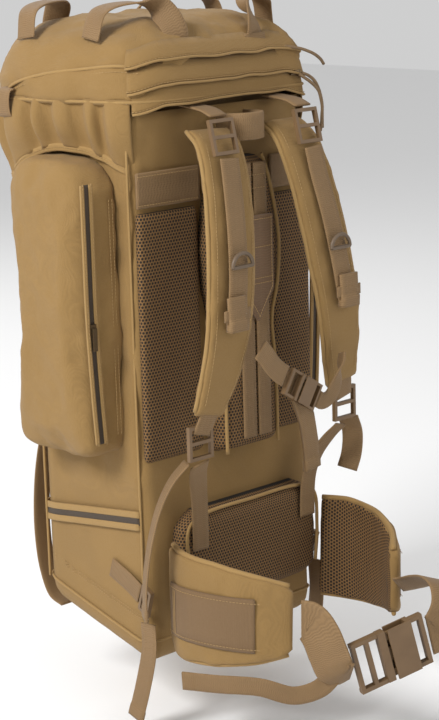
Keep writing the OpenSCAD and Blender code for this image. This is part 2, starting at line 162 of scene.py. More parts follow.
def weave_group():
    """Plain weave in all three directions at once, so that it needs no map."""
    group, start, end = node_group("plain weave", [
        ("Pitch", "NodeSocketFloat", 0.0012), ("Tone", "NodeSocketColor", (1, 1, 1, 1)),
        ("Shade", "NodeSocketColor", (0.5, 0.5, 0.5, 1)), ("Mottle", "NodeSocketFloat", 0.4)],
        [("Color", "NodeSocketColor"), ("Height", "NodeSocketFloat"),
         ("Roughness", "NodeSocketFloat")])
    place = add(group, "ShaderNodeTexCoord").outputs["Object"]
    turns = maths(group, "DIVIDE", 2 * math.pi, start.outputs["Pitch"])
    scaled = add(group, "ShaderNodeVectorMath", {0: place}, operation="SCALE")
    group.links.new(turns, scaled.inputs["Scale"])
    waves = add(group, "ShaderNodeVectorMath", {0: scaled.outputs[0]}, operation="SINE")
    xyz = add(group, "ShaderNodeSeparateXYZ", {0: waves.outputs[0]}).outputs
    pairs = [maths(group, "MULTIPLY", xyz[a], xyz[b]) for a, b in ((0, 1), (1, 2), (2, 0))]
    height = maths(group, "ADD", maths(group, "ADD", pairs[0], pairs[1]), pairs[2])
    broad = add(group, "ShaderNodeTexNoise", {"Vector": place, "Scale": 9.0, "Detail": 4.0})
    fine = add(group, "ShaderNodeTexNoise", {"Vector": place, "Scale": 420.0, "Detail": 2.0})
    mixed = maths(group, "ADD", maths(group, "MULTIPLY", broad.outputs["Fac"], 0.65),
                  maths(group, "MULTIPLY", fine.outputs["Fac"], 0.35))
    mottle = maths(group, "MULTIPLY", mixed, start.outputs["Mottle"])
    # Painted shade: the colour is darkened where the weave's height is low, in the hollows between
    # the threads.
    thread = maths(group, "MULTIPLY", maths(group, "SUBTRACT", 1.0, height), 0.08)
    factor = add(group, "ShaderNodeMath", {0: mottle, 1: thread}, operation="ADD", use_clamp=True)
    colour = blend_colour(group, factor.outputs[0], start.outputs["Tone"], start.outputs["Shade"])
    group.links.new(colour, end.inputs["Color"])
    grain = maths(group, "MULTIPLY", fine.outputs["Fac"], 1.2)
    group.links.new(maths(group, "ADD", height, grain), end.inputs["Height"])
    rough = maths(group, "ADD", 0.74, maths(group, "MULTIPLY", fine.outputs["Fac"], 0.22))
    group.links.new(rough, end.inputs["Roughness"])
    return group


def ribs_group():
    """Woven ribs of webbing. U runs 0 to 1 across it and V is metres along it."""
    group, start, end = node_group("webbing ribs", [
        ("Pitch", "NodeSocketFloat", 0.0022), ("Tone", "NodeSocketColor", (1, 1, 1, 1)),
        ("Shade", "NodeSocketColor", (0.5, 0.5, 0.5, 1))],
        [("Color", "NodeSocketColor"), ("Height", "NodeSocketFloat")])
    xyz = add(group, "ShaderNodeSeparateXYZ",
              {0: add(group, "ShaderNodeTexCoord").outputs["UV"]}).outputs
    turns = maths(group, "DIVIDE", 2 * math.pi, start.outputs["Pitch"])
    zigzag = maths(group, "MULTIPLY", maths(group, "PINGPONG", xyz[0], 0.125), 22.0)
    ribs = maths(group, "SINE", maths(group, "ADD", maths(group, "MULTIPLY", xyz[1], turns), zigzag))
    rows = maths(group, "SINE", maths(group, "MULTIPLY", xyz[0], 100.0))
    height = maths(group, "ADD", ribs, maths(group, "MULTIPLY", rows, 0.35))
    place = add(group, "ShaderNodeTexCoord").outputs["Object"]
    wear = add(group, "ShaderNodeTexNoise", {"Vector": place, "Scale": 28.0, "Detail": 5.0})
    edge = maths(group, "ABSOLUTE", maths(group, "SUBTRACT", xyz[0], 0.5))
    selvedge = maths(group, "MULTIPLY", maths(group, "GREATER_THAN", edge, 0.44), -0.2)
    shade = maths(group, "MULTIPLY", maths(group, "SUBTRACT", 1.0, ribs), 0.16)
    factor = add(group, "ShaderNodeMath", {
        0: maths(group, "ADD", shade, selvedge),
        1: maths(group, "MULTIPLY", wear.outputs["Fac"], 0.5)}, operation="ADD", use_clamp=True)
    colour = blend_colour(group, factor.outputs[0], start.outputs["Tone"], start.outputs["Shade"])
    group.links.new(colour, end.inputs["Color"])
    group.links.new(height, end.inputs["Height"])
    return group


def shader(name):
    material = bpy.data.materials.new(name)
    material.use_nodes = True
    tree = material.node_tree
    return material, tree, tree.nodes["Principled BSDF"]


def place_group(tree, group, **values):
    node = tree.nodes.new("ShaderNodeGroup")
    node.node_tree = group
    for key, value in values.items():
        node.inputs[key].default_value = value
    return node


def bump(tree, bsdf, height, distance, strength=1.0):
    node = add(tree, "ShaderNodeBump", {"Height": height, "Distance": distance,
                                        "Strength": strength})
    tree.links.new(node.outputs[0], bsdf.inputs["Normal"])


def plain_material(name, colour, roughness):
    material, _, bsdf = shader(name)
    bsdf.inputs["Base Color"].default_value = (*colour, 1)
    bsdf.inputs["Roughness"].default_value = roughness
    return material


def cloth_material(name, tone, shade, pitch=0.0012, mottle=0.4, depth=0.00016, sheen=0.06):
    material, tree, bsdf = shader(name)
    weave = place_group(tree, WEAVE, Pitch=pitch, Tone=(*tone, 1), Shade=(*shade, 1),
                        Mottle=mottle)
    tree.links.new(weave.outputs["Color"], bsdf.inputs["Base Color"])
    tree.links.new(weave.outputs["Roughness"], bsdf.inputs["Roughness"])
    bsdf.inputs["Sheen Weight"].default_value = sheen
    bsdf.inputs["Sheen Roughness"].default_value = 0.5
    bump(tree, bsdf, weave.outputs["Height"], depth, 0.7)
    return material


def webbing_material(name, tone, shade, pitch=0.0022):
    material, tree, bsdf = shader(name)
    ribs = place_group(tree, RIBS, Pitch=pitch, Tone=(*tone, 1), Shade=(*shade, 1))
    tree.links.new(ribs.outputs["Color"], bsdf.inputs["Base Color"])
    bsdf.inputs["Roughness"].default_value = 0.72
    bsdf.inputs["Sheen Weight"].default_value = 0.05
    bump(tree, bsdf, ribs.outputs["Height"], 0.00022, 0.8)
    return material


def plastic_material(name, tone, shade):
    material, tree, bsdf = shader(name)
    place = add(tree, "ShaderNodeTexCoord").outputs["Object"]
    broad = add(tree, "ShaderNodeTexNoise", {"Vector": place, "Scale": 60.0, "Detail": 4.0})
    grain = add(tree, "ShaderNodeTexNoise", {"Vector": place, "Scale": 2400.0, "Detail": 1.0})
    colour = blend_colour(tree, broad.outputs["Fac"], (*tone, 1), (*shade, 1))
    tree.links.new(colour, bsdf.inputs["Base Color"])
    rough = maths(tree, "ADD", 0.38, maths(tree, "MULTIPLY", broad.outputs["Fac"], 0.2))
    tree.links.new(rough, bsdf.inputs["Roughness"])
    bump(tree, bsdf, grain.outputs["Fac"], 0.00006, 0.5)
    return material


def metal_material(name, tone):
    material, tree, bsdf = shader(name)
    place = add(tree, "ShaderNodeTexCoord").outputs["Object"]
    scratches = add(tree, "ShaderNodeTexNoise", {"Vector": place, "Scale": 300.0, "Detail": 6.0})
    colour = blend_colour(tree, scratches.outputs["Fac"], (*tone, 1),
                          (*(c * 0.6 for c in tone), 1))
    tree.links.new(colour, bsdf.inputs["Base Color"])
    bsdf.inputs["Metallic"].default_value = 0.8
    rough = maths(tree, "ADD", 0.3, maths(tree, "MULTIPLY", scratches.outputs["Fac"], 0.2))
    tree.links.new(rough, bsdf.inputs["Roughness"])
    return material


MESH_PITCH = 0.0042


def net_material(name):
    """Spacer mesh: yarn between hexagonal holes, on a map in metres."""
    material, tree, bsdf = shader(name)
    place = add(tree, "ShaderNodeTexCoord").outputs["UV"]
    pitch = (MESH_PITCH, MESH_PITCH * 1.732, 1.0)
    cells = add(tree, "ShaderNodeVectorMath", {0: place, 1: pitch}, operation="DIVIDE").outputs[0]
    reaches = []
    for shift in (0.0, 0.5):
        moved = add(tree, "ShaderNodeVectorMath", {0: cells, 1: (shift, shift, 0)},
                    operation="ADD").outputs[0]
        part = add(tree, "ShaderNodeVectorMath", {0: moved}, operation="FRACTION").outputs[0]
        centred = add(tree, "ShaderNodeVectorMath", {0: part, 1: (0.5, 0.5, 0)},
                      operation="SUBTRACT").outputs[0]
        square = add(tree, "ShaderNodeVectorMath", {0: centred, 1: (1, 1.732, 0)},
                     operation="MULTIPLY").outputs[0]
        reaches.append(add(tree, "ShaderNodeVectorMath", {0: square},
                           operation="LENGTH").outputs["Value"])
    nearest = maths(tree, "MINIMUM", *reaches)
    yarn = add(tree, "ShaderNodeMapRange", {0: nearest, 1: 0.27, 2: 0.39}).outputs[0]
    # The holes are painted near black: painted shade, standing for the dark inside the mesh; the
    # yarn keeps its own colour.
    colour = blend_colour(tree, yarn, (0.008, 0.005, 0.0025, 1), (0.20, 0.105, 0.034, 1))
    tree.links.new(colour, bsdf.inputs["Base Color"])
    bsdf.inputs["Roughness"].default_value = 0.85
    bump(tree, bsdf, yarn, 0.0006, 0.9)
    return material


# ---- Shapes ----

def plain_name(words):
    return words.replace(" ", "_")


def as_piece(name, verts, faces, material, body, node=(), uv=None, closed=True):
    """A mesh piece from points in millimetres that rides on a body and stands for CAD nodes."""
    mesh = bpy.data.meshes.new(plain_name(name))
    mesh.from_pydata((np.asarray(verts, float) * MM).tolist(), [], faces)
    if uv is not None:
        layer = mesh.uv_layers.new(name="map")
        layer.data.foreach_set("uv", np.asarray(uv, np.float32).ravel())
    piece = bpy.data.objects.new(plain_name(name), mesh)
    bpy.context.collection.objects.link(piece)
    if closed:
        face_outwards(mesh)
    mesh.shade_smooth()
    mesh.materials.append(material)
    if body:
        settle(piece, body, node)
    return piece


def settle(piece, body, node=()):
    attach(piece, body)
    nodes = [node] if isinstance(node, str) else list(node)
    if nodes:
        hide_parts(*nodes)
    return piece


def face_outwards(mesh):
    work = bmesh.new()
    work.from_mesh(mesh)
    bmesh.ops.recalc_face_normals(work, faces=work.faces)
    work.to_mesh(mesh)
    work.free()


def quads(rows, columns, wrap):
    """Faces of a grid of points, row by row."""
    last = columns if wrap else columns - 1
    return [(i * columns + k, i * columns + (k + 1) % columns,
             (i + 1) * columns + (k + 1) % columns, (i + 1) * columns + k)
            for i in range(rows - 1) for k in range(last)]


def grid_uv(rows, wrap, across=None):
    """Map in metres: U round the rings, or 0 to 1 where across is given, and V along them."""
    size = rows.shape[1]
    along = np.concatenate([[0], np.cumsum(np.linalg.norm(
        np.diff(rows[:, 0], axis=0), axis=1))]) * MM
    loop = np.concatenate([rows, rows[:, :1]], axis=1) if wrap else rows
    if across is None:
        widths = np.linalg.norm(np.diff(loop[len(loop) // 2], axis=0), axis=1)
        across = np.concatenate([[0], np.cumsum(widths)]) * MM
    uv = []
    for i in range(len(rows) - 1):
        for k in range(size if wrap else size - 1):
            u0, u1 = across[k], across[k + 1]
            uv += [(u0, along[i]), (u1, along[i]), (u1, along[i + 1]), (u0, along[i + 1])]
    return uv


def loft(name, rows, material, body, node=(), wrap=True, caps=True, across=None):
    rows = np.asarray(rows, float)
    count, size = rows.shape[:2]
    faces = quads(count, size, wrap)
    uv = grid_uv(rows, wrap, across)
    if wrap and caps:
        for ring in (range(size), range((count - 1) * size, count * size)):
            faces.append(tuple(ring))
            uv += [(0.5, 0.0)] * size
    return as_piece(name, rows.reshape(-1, 3), faces, material, body, node, uv,
                    closed=wrap and caps)


def unit(v):
    v = np.asarray(v, float)
    return v / np.maximum(np.linalg.norm(v, axis=-1, keepdims=True), 1e-9)


def resample(points, step, extra=None):
    """Smooth curve through the points, as evenly spaced points; extra is carried along."""
    points = np.asarray(points, float)
    padded = np.vstack([2 * points[0] - points[1], points, 2 * points[-1] - points[-2]])
    extras = None
    if extra is not None:
        extra = np.asarray(extra, float)
        extras = np.vstack([extra[:1], extra, extra[-1:]])
    fine, carried = [], []
    for i in range(1, len(padded) - 2):
        p0, p1, p2, p3 = padded[i - 1:i + 3]
        knots = [0.0]
        for a, b in ((p0, p1), (p1, p2), (p2, p3)):
            knots.append(knots[-1] + max(np.linalg.norm(b - a), 1e-6) ** 0.5)
        t0, t1, t2, t3 = knots
        for t in np.linspace(t1, t2, 17)[:-1]:
            a1 = (t1 - t) / (t1 - t0) * p0 + (t - t0) / (t1 - t0) * p1
            a2 = (t2 - t) / (t2 - t1) * p1 + (t - t1) / (t2 - t1) * p2
            a3 = (t3 - t) / (t3 - t2) * p2 + (t - t2) / (t3 - t2) * p3
            b1 = (t2 - t) / (t2 - t0) * a1 + (t - t0) / (t2 - t0) * a2
            b2 = (t3 - t) / (t3 - t1) * a2 + (t - t1) / (t3 - t1) * a3
            fine.append((t2 - t) / (t2 - t1) * b1 + (t - t1) / (t2 - t1) * b2)
            if extras is not None:
                part = (t - t1) / (t2 - t1)
                carried.append(extras[i] * (1 - part) + extras[i + 1] * part)
    fine.append(points[-1])
    if extras is not None:
        carried.append(extras[-1])
    fine = np.array(fine)
    length = np.concatenate([[0], np.cumsum(np.linalg.norm(np.diff(fine, axis=0), axis=1))])
    count = max(2, int(round(length[-1] / step)) + 1)
    wanted = np.linspace(0, length[-1], count)
    result = np.column_stack([np.interp(wanted, length, fine[:, k]) for k in range(3)])
    if extras is None:
        return result
    carried = np.array(carried)
    return result, np.column_stack([np.interp(wanted, length, carried[:, k])
                                    for k in range(carried.shape[1])])


def frames(points, sides):
    """Tangent, width direction and thickness direction at each point."""
    tangent = unit(np.gradient(points, axis=0))
    sides = np.asarray(sides, float)
    side = unit(sides - np.sum(sides * tangent, axis=1, keepdims=True) * tangent)
    return tangent, side, np.cross(tangent, side)


def sides_for(points, side):
    side = np.asarray(side, float)
    return side if side.ndim == 2 else np.tile(side, (len(points), 1))


FOLD_LENGTH = 13.0


def webbing(name, points, side, width, body, node=(), thick=2.0, material=None, fold=False,
            crown=0.0, step=3.0):
    """Flat webbing along a smooth path, with soft edges and, if wanted, a sewn fold at its end."""
    points, sides = resample(points, step, sides_for(points, side))
    _, side, normal = frames(points, sides)
    left = np.arange(len(points))[::-1] * step
    across = np.array([-0.5, -0.46, -0.25, 0, 0.25, 0.46, 0.5, 0.46, 0.25, 0, -0.25, -0.46])
    lift = np.array([0, 1, 1, 1, 1, 1, 0, -1, -1, -1, -1, -1]) * 0.5
    rows = []
    for i, point in enumerate(points):
        layers = 2.2 if fold and left[i] < FOLD_LENGTH else 1.0
        a = across[:, None] * width
        b = lift[:, None] * thick * layers + crown * (1 - (2 * across[:, None]) ** 2)
        rows.append(point + a * side[i] + b * normal[i])
    table = np.append(across + 0.5, across[0] + 0.5)
    return loft(name, rows, material or WEBBING, body, node, across=table)


ROUND_TUBE_SIDE = [0.13, 0.31, 0.94]


def tube(name, points, radius, material, body, node=(), step=3.0, sides=8):
    points = resample(points, step)
    _, side, normal = frames(points, np.tile(ROUND_TUBE_SIDE, (len(points), 1)))
    angles = np.linspace(0, 2 * math.pi, sides, endpoint=False)
    rows = [p + radius * (np.cos(angles)[:, None] * s + np.sin(angles)[:, None] * n)
            for p, s, n in zip(points, side, normal)]
    return loft(name, rows, material, body, node)


def joined(name, pieces):
    """One object from several that ride on nothing yet."""
    bpy.ops.object.select_all(action="DESELECT")
    for piece in pieces:
        piece.select_set(True)
    bpy.context.view_layer.objects.active = pieces[0]
    bpy.ops.object.join()
    pieces[0].name = plain_name(name)
    return pieces[0]


def cloth_sheet(rows, wrap=False):
    """Turns the rows of a single layer of cloth into metres and closes the ring where wrap is set;
    nothing is kept.
    """
    rows = np.asarray(rows, float) * MM
    if wrap:
        rows = np.concatenate([rows, rows[:, :1]], axis=1)


def solid_cloth(piece, thickness, offset=-1.0):
    modifier = piece.modifiers.new("cloth thickness", "SOLIDIFY")
    modifier.thickness = thickness * MM
    modifier.offset = offset


def subdivide(piece, levels=1):
    modifier = piece.modifiers.new("smooth", "SUBSURF")
    modifier.levels = levels
    modifier.render_levels = levels


def bevelled(piece, width, segments=2):
    modifier = piece.modifiers.new("soft edges", "BEVEL")
    modifier.width = width * MM
    modifier.segments = segments
    modifier.limit_method = "ANGLE"


def creases(rows, amount, scale, seed=0.0, stretch=(1, 1, 1)):
    """Pushes a surface in and out along its normals, in soft folds."""
    rows = np.asarray(rows, float)
    normal = np.cross(np.gradient(rows, axis=0), np.gradient(rows, axis=1))
    normal = unit(normal)
    moved = rows.copy()
    amount = np.broadcast_to(amount, rows.shape[:2])
    for i in range(rows.shape[0]):
        for k in range(rows.shape[1]):
            p = Vector(rows[i, k] * np.array(stretch) / scale) + Vector((seed, seed * 0.7, 3.1))
            fold = noise.noise(p) + 0.5 * noise.noise(p * 2.3)
            moved[i, k] += normal[i, k] * fold * amount[i, k]
    return moved


def smoothstep(x, a, b):
    t = np.clip((x - a) / (b - a), 0, 1)
    return t * t * (3 - 2 * t)


# ---- Sewn details ----

def stitch_tree():
    """Geometry nodes: small threads in a row along a guide line."""
    tree = bpy.data.node_groups.new("stitch row", "GeometryNodeTree")
    tree.interface.new_socket("Guide", in_out="INPUT", socket_type="NodeSocketGeometry")
    spacing = tree.interface.new_socket("Spacing", in_out="INPUT", socket_type="NodeSocketFloat")
    length = tree.interface.new_socket("Length", in_out="INPUT", socket_type="NodeSocketFloat")
    radius = tree.interface.new_socket("Radius", in_out="INPUT", socket_type="NodeSocketFloat")
    finish = tree.interface.new_socket("Material", in_out="INPUT",
                                       socket_type="NodeSocketMaterial")
    tree.interface.new_socket("Threads", in_out="OUTPUT", socket_type="NodeSocketGeometry")
    start = tree.nodes.new("NodeGroupInput")
    end = tree.nodes.new("NodeGroupOutput")
    line = add(tree, "GeometryNodeMeshToCurve", {"Mesh": start.outputs["Guide"]})
    spots = add(tree, "GeometryNodeCurveToPoints", {
        "Curve": line.outputs[0], "Length": start.outputs["Spacing"]}, mode="LENGTH")
    thread = add(tree, "GeometryNodeMeshCylinder", {
        "Vertices": 5, "Radius": start.outputs["Radius"], "Depth": start.outputs["Length"]})
    turn = add(tree, "FunctionNodeAlignRotationToVector",
               {"Vector": spots.outputs["Tangent"]}, axis="Z")
    placed = add(tree, "GeometryNodeInstanceOnPoints", {
        "Points": spots.outputs["Points"], "Instance": thread.outputs["Mesh"],
        "Rotation": turn.outputs[0]})
    real = add(tree, "GeometryNodeRealizeInstances", {0: placed.outputs[0]})
    coloured = add(tree, "GeometryNodeSetMaterial", {
        "Geometry": real.outputs[0], "Material": start.outputs["Material"]})
    tree.links.new(coloured.outputs[0], end.inputs[0])
    return tree, {"spacing": spacing.identifier, "length": length.identifier,
                  "radius": radius.identifier, "material": finish.identifier}


def stitches(name, lines, body, spacing=4.0, length=2.6, radius=0.38):
    """Threads along one or more lines of points in millimetres."""
    verts, edges = [], []
    for line in lines:
        points = resample(line, 4.0) * MM
        edges += [(len(verts) + i, len(verts) + i + 1) for i in range(len(points) - 1)]
        verts += points.tolist()
    mesh = bpy.data.meshes.new(name)
    mesh.from_pydata(verts, edges, [])
    guide = bpy.data.objects.new(name + " guide", mesh)
    bpy.context.collection.objects.link(guide)
    modifier = guide.modifiers.new("stitches", "NODES")
    modifier.node_group, sockets = STITCHES
    modifier[sockets["spacing"]] = spacing * MM
    modifier[sockets["length"]] = length * MM
    modifier[sockets["radius"]] = radius * MM
    modifier[sockets["material"]] = THREAD
    made = bpy.data.meshes.new_from_object(
        guide.evaluated_get(bpy.context.evaluated_depsgraph_get()))
    bpy.data.objects.remove(guide)
    made.name = plain_name(name)
    if not made.materials:
        made.materials.append(THREAD)
    piece = bpy.data.objects.new(plain_name(name), made)
    bpy.context.collection.objects.link(piece)
    return settle(piece, body)


SETTLING_FRAMES = 20


def inflate(piece, voxel=5.0, pressure=4.0, most=9.0, pinned=None):
    """Lets a closed form settle as filled fabric, then keeps the settled shape."""
    remesh = piece.modifiers.new("even cloth", "REMESH")
    remesh.mode = "VOXEL"
    remesh.voxel_size = voxel * MM
    graph = bpy.context.evaluated_depsgraph_get()
    even = bpy.data.meshes.new_from_object(piece.evaluated_get(graph))
    piece.modifiers.clear()
    material = piece.data.materials[0]
    piece.data = even
    even.materials.clear()
    even.materials.append(material)
    before = np.array([v.co for v in even.vertices])
    if pinned is not None:
        group = piece.vertex_groups.new(name="sewn edge")
        held = [i for i, place in enumerate(before / MM) if pinned(place)]
        group.add(held, 1.0, "ADD")
    cloth = piece.modifiers.new("cloth", "CLOTH")
    cloth.settings.quality = 5
    cloth.settings.mass = 0.3
    cloth.settings.tension_stiffness = 25
    cloth.settings.compression_stiffness = 12
    cloth.settings.bending_stiffness = 0.6
    cloth.settings.use_pressure = True
    cloth.settings.uniform_pressure_force = pressure
    cloth.settings.effector_weights.gravity = 0
    if pinned is not None:
        cloth.settings.vertex_group_mass = "sewn edge"
    cloth.point_cache.frame_start = 1
    cloth.point_cache.frame_end = SETTLING_FRAMES
    scene = bpy.context.scene
    for moment in range(1, SETTLING_FRAMES + 1):
        scene.frame_set(moment)
    settled = bpy.data.meshes.new_from_object(
        piece.evaluated_get(bpy.context.evaluated_depsgraph_get()))
    after = np.array([v.co for v in settled.vertices])
    bpy.data.meshes.remove(settled)
    move = after - before
    size = np.linalg.norm(move, axis=1, keepdims=True)
    move *= np.minimum(1.0, most * MM / np.maximum(size, 1e-9))
    even.vertices.foreach_set("co", (before + move).astype(np.float32).ravel())
    piece.modifiers.clear()
    scene.frame_set(1)
    even.shade_smooth()
    subdivide(piece)
    return piece


# ---- Main bag ----

def rounded_ring(half_x, low_y, high_y, r_back, r_front, inset=0.0, count=8):
    """Plan of the bag seen from above, anticlockwise, with points along its flat sides."""
    corners = [(half_x, high_y, r_front, 0), (-half_x, high_y, r_front, 90),
               (-half_x, low_y, r_back, 180), (half_x, low_y, r_back, 270)]
    points = []
    for x, y, radius, angle in corners:
        radius = max(radius - inset, 1.0)
        cx = math.copysign(abs(x) - inset - radius, x)
        cy = y - inset - radius if y == high_y else y + inset + radius
        for k in range(count + 1):
            a = math.radians(angle + 90 * k / count)
            points.append((cx + radius * math.cos(a), cy + radius * math.sin(a)))
    points = np.array(points)
    loop = np.vstack([points, points[:1]])
    run = np.concatenate([[0], np.cumsum(np.linalg.norm(np.diff(loop, axis=0), axis=1))])
    wanted = np.linspace(0, run[-1], 145)[:-1]
    return np.column_stack([np.interp(wanted, run, loop[:, k]) for k in (0, 1)])


BASE_ROUND = 24.0
BASE_RISE = 39.0


def base_height(y):
    return BASE_RISE * np.clip((y - 16) / (BAG_D - 38), 0, 1.1) ** 1.05


def bag_body():
    insets = [92, 60, 34] + [BASE_ROUND * (1 - math.sin(math.radians(a)))
                             for a in (10, 30, 50, 70, 90)]
    lifts = [0, 0, 0] + [BASE_ROUND * (1 - math.cos(math.radians(a)))
                         for a in (10, 30, 50, 70, 90)]
    rows = []
    for inset, lift in zip(insets, lifts):
        ring = rounded_ring(BAG_W, 0, BAG_D, 14, 26, inset)
        rows.append(np.column_stack([ring, base_height(ring[:, 1]) + lift]))
    ring = rounded_ring(BAG_W, 0, BAG_D, 14, 26)
    low = base_height(ring[:, 1]) + BASE_ROUND
    for part in np.linspace(0, 1, 56)[1:]:
        z = low + (BAG_TOP - low) * part
        rows.append(np.column_stack([ring, z]))
    rows = np.array(rows)
    bulge = smoothstep(rows[..., 2], 20, 90) * (1 - smoothstep(rows[..., 2], 560, 640))
    front = smoothstep(rows[..., 1], 60, 180)
    rows[..., 1] += 2.5 * bulge * front
    free = 0.1 + 0.9 * smoothstep(rows[..., 2], 195, 235)
    free *= 1 - 0.8 * smoothstep(rows[..., 1], 150, 185)
    rows = creases(rows, 5.5 * free, 60, 2.0, (1, 1, 0.6))
    rows = creases(rows, 1.7 * free, 19, 5.0, (0.6, 0.6, 1.4))
    rows[..., 1] = np.maximum(rows[..., 1], 0.0)
    body = loft("bag body", rows, FABRIC, "pack",
                ("back_panel", "front_panel", "side_panels", "base_panel"), caps=False)
    mesh = body.data
    face_outwards(mesh)
    solid_cloth(body, 2.0)
    for side in (-1, 1):
        for y, label in ((8, "rear"), (BAG_D - 9, "front")):
            x = side * (BAG_W + 1.2)
            line = [(x, y, 72 + z) for z in range(0, 570, 30)]
            tube(f"bag {label} side seam {SIDE_NAMES[side]}", line, 1.6, BINDING, "pack", step=8)
    seam = rounded_ring(BAG_W + 1.2, -0.2, BAG_D + 2.4, 14, 26)
    ring = np.column_stack([seam, base_height(seam[:, 1]) + BASE_ROUND + 6])
    tube("base seam", np.vstack([ring, ring[:1]]), 1.7, BINDING, "pack", step=8)
    padded_row = [np.column_stack([s, base_height(s[:, 1]) + BASE_ROUND + h]) for s, h in (
        (rounded_ring(BAG_W + 1.6, -0.6, BAG_D + 2, 14, 26), 34),
        (rounded_ring(BAG_W + 1.6, -0.6, BAG_D + 2, 14, 26), 38))]
    for k, line in enumerate(padded_row):
        keep = line[:, 1] > 4
        line = line[keep]
        order = np.argsort(np.unwrap(np.arctan2(line[:, 0], BAG_D - line[:, 1] + 20)))
        stitches(f"base row {k + 1}", [line[order]], "pack")


def collar():
    rows = []
    for z in np.linspace(604, 668, 14):
        ring = rounded_ring(122, 22, 176, 26, 26)
        rows.append(np.column_stack([ring, np.full(len(ring), z)]))
    rows = creases(rows, 2.2, 18, 9.0, (1, 1, 0.2))
    piece = loft("gathered snow collar", rows, LINING, "pack", "snow_collar", caps=False)
    solid_cloth(piece, 1.2)
    cloth_sheet(rows, wrap=True)
    ring = rounded_ring(124, 20, 178, 26, 26)
    line = np.column_stack([ring, np.full(len(ring), 660.0)])
    tube("threaded collar drawcord", np.vstack([line, line[:1]]), 1.75, CORD, "pack",
         "collar_drawcord", step=6)


# ---- Lid ----

LID_CENTRE = np.array([0.0, 108.0])
LID_FOOT = 650.0
LID_RISE = 90.0
LID_PLAN = [(126, -6), (152, 60), (166, 130), (162, 190), (132, 224), (60, 232)]


def lid_outline():
    half = np.array(LID_PLAN, float)
    loop = np.vstack([half, half[::-1] * [-1, 1], half[:1]])
    smooth = resample(np.column_stack([loop, np.zeros(len(loop))]), 2.0)[:, :2]
    run = np.linspace(0, len(smooth) - 1, 241)[:-1]
    return np.column_stack([np.interp(run, np.arange(len(smooth)), smooth[:, k])
                            for k in (0, 1)])


OUTLINE = lid_outline()


def lid_scale(z):
    climb = np.clip((z - LID_FOOT) / LID_RISE, 0, 1) ** (1 / 0.75)
    return np.maximum(1 - climb ** 2, 0) ** 0.225


def outline_at(direction):
    """Point of the lid's plan in this compass direction from its centre."""
    angles = np.unwrap(np.arctan2(*(OUTLINE - LID_CENTRE).T[::-1]))
    wanted = np.asarray(direction, float)
    base = np.mod(angles, 2 * math.pi)
    order = np.argsort(base)
    radius = np.linalg.norm(OUTLINE - LID_CENTRE, axis=1)
    reach = np.interp(np.mod(wanted, 2 * math.pi), base[order], radius[order],
                      period=2 * math.pi)
    return reach


def on_lid(direction, z, out=0.0):
    """Points on the lid's wall at compass directions and heights, standing out by some mm."""
    direction = np.asarray(direction, float)
    z = np.broadcast_to(np.asarray(z, float), direction.shape)
    reach = outline_at(direction) * lid_scale(z) + out
    return np.column_stack([LID_CENTRE[0] + reach * np.cos(direction),
                            LID_CENTRE[1] + reach * np.sin(direction), z])


def compass(x, y):
    return math.atan2(y - LID_CENTRE[1], x - LID_CENTRE[0])


def lid_dome():
    turns = np.linspace(0, 2 * math.pi, 181)[:-1]
    rows = []
    for a in np.linspace(0, 88, 34):
        rise = math.sin(math.radians(a)) ** 0.75
        shrink = math.cos(math.radians(a)) ** 0.45
        reach = outline_at(turns) * shrink
        ring = np.column_stack([LID_CENTRE[0] + reach * np.cos(turns),
                                LID_CENTRE[1] + reach * np.sin(turns),
                                np.full(len(turns), LID_FOOT + LID_RISE * rise)])
        rows.append(ring)
    rows = creases(np.array(rows), 4.5, 50, 11.0)
    rows = creases(rows, 1.9, 18, 4.0, (0.6, 0.6, 1.5))
    loft("lid dome", rows, FABRIC, "lid", "lid_shell", caps=True)
    seam_high = [(-112, 8), (-132, 20), (-149, 60), (-158, 110), (-160, 160), (-148, 196)]
    heights = (690, 692, 688, 682, 668, 640)
    for side in (-1, 1):
        turn = np.array([compass(side * -x, y) for x, y in seam_high])
        line = on_lid(turn, np.array(heights, float), 1.2)
        tube(f"lid seam {SIDE_NAMES[side]}", line, 1.9, BINDING, "lid", step=5)
        stitches(f"lid seam stitching {SIDE_NAMES[side]}",
                 [on_lid(turn, np.array(heights) - 6.0, 1.6)], "lid")
    foot = on_lid(turns, LID_FOOT + 3, 1.0)
    tube("lid foot seam", np.vstack([foot, foot[:1]]), 2.0, BINDING, "lid", step=6)


def lid_flap_tiers():
    """Three storm flaps, one over the next, across the lid's back wall."""
    tiers = [(718, 697, 128, 4.2), (696, 670, 126, 3.6), (671, 649, 122, 3.0)]
    for k, (top, low, half, out) in enumerate(tiers):
        xs = np.linspace(-half, half, 61)
        bend = 9 * smoothstep(np.abs(xs), half - 34, half)
        ripple = np.array([noise.noise(Vector((x / 34, k * 3.7, 0.3))) for x in xs]) * 2.6
        turn = np.array([compass(x, -6 + 0.6 * max(0, abs(x) - 100)) for x in xs])
        rows = []
        for part, stand in ((0, 0.6), (0.35, out * 0.6), (0.8, out), (1.0, out + 0.4)):
            z = top + (low - top) * part + ripple * part - bend
            rows.append(on_lid(turn, z, stand))
        piece = loft(f"storm flap {k + 1}", rows, FABRIC, "lid",
                     ("lid_flaps",) if k == 0 else (), wrap=False)
        solid_cloth(piece, 2.2, 1.0)
        cloth_sheet(rows)
        edge = [np.array(rows[-2]) * 0.6 + np.array(rows[-1]) * 0.4 - [0, 1.6, 0]]
        stitches(f"storm flap stitching {k + 1}", edge, "lid")
        tube(f"storm flap edge {k + 1}", np.array(rows[-1]) - [0, 1, 0], 1.5, BINDING, "lid",
             step=6)


def skirt_hem(y):
    return 600 - 16 * ((y - 98) / 65) ** 2 * np.where(y < 98, 0.75, 1.0)


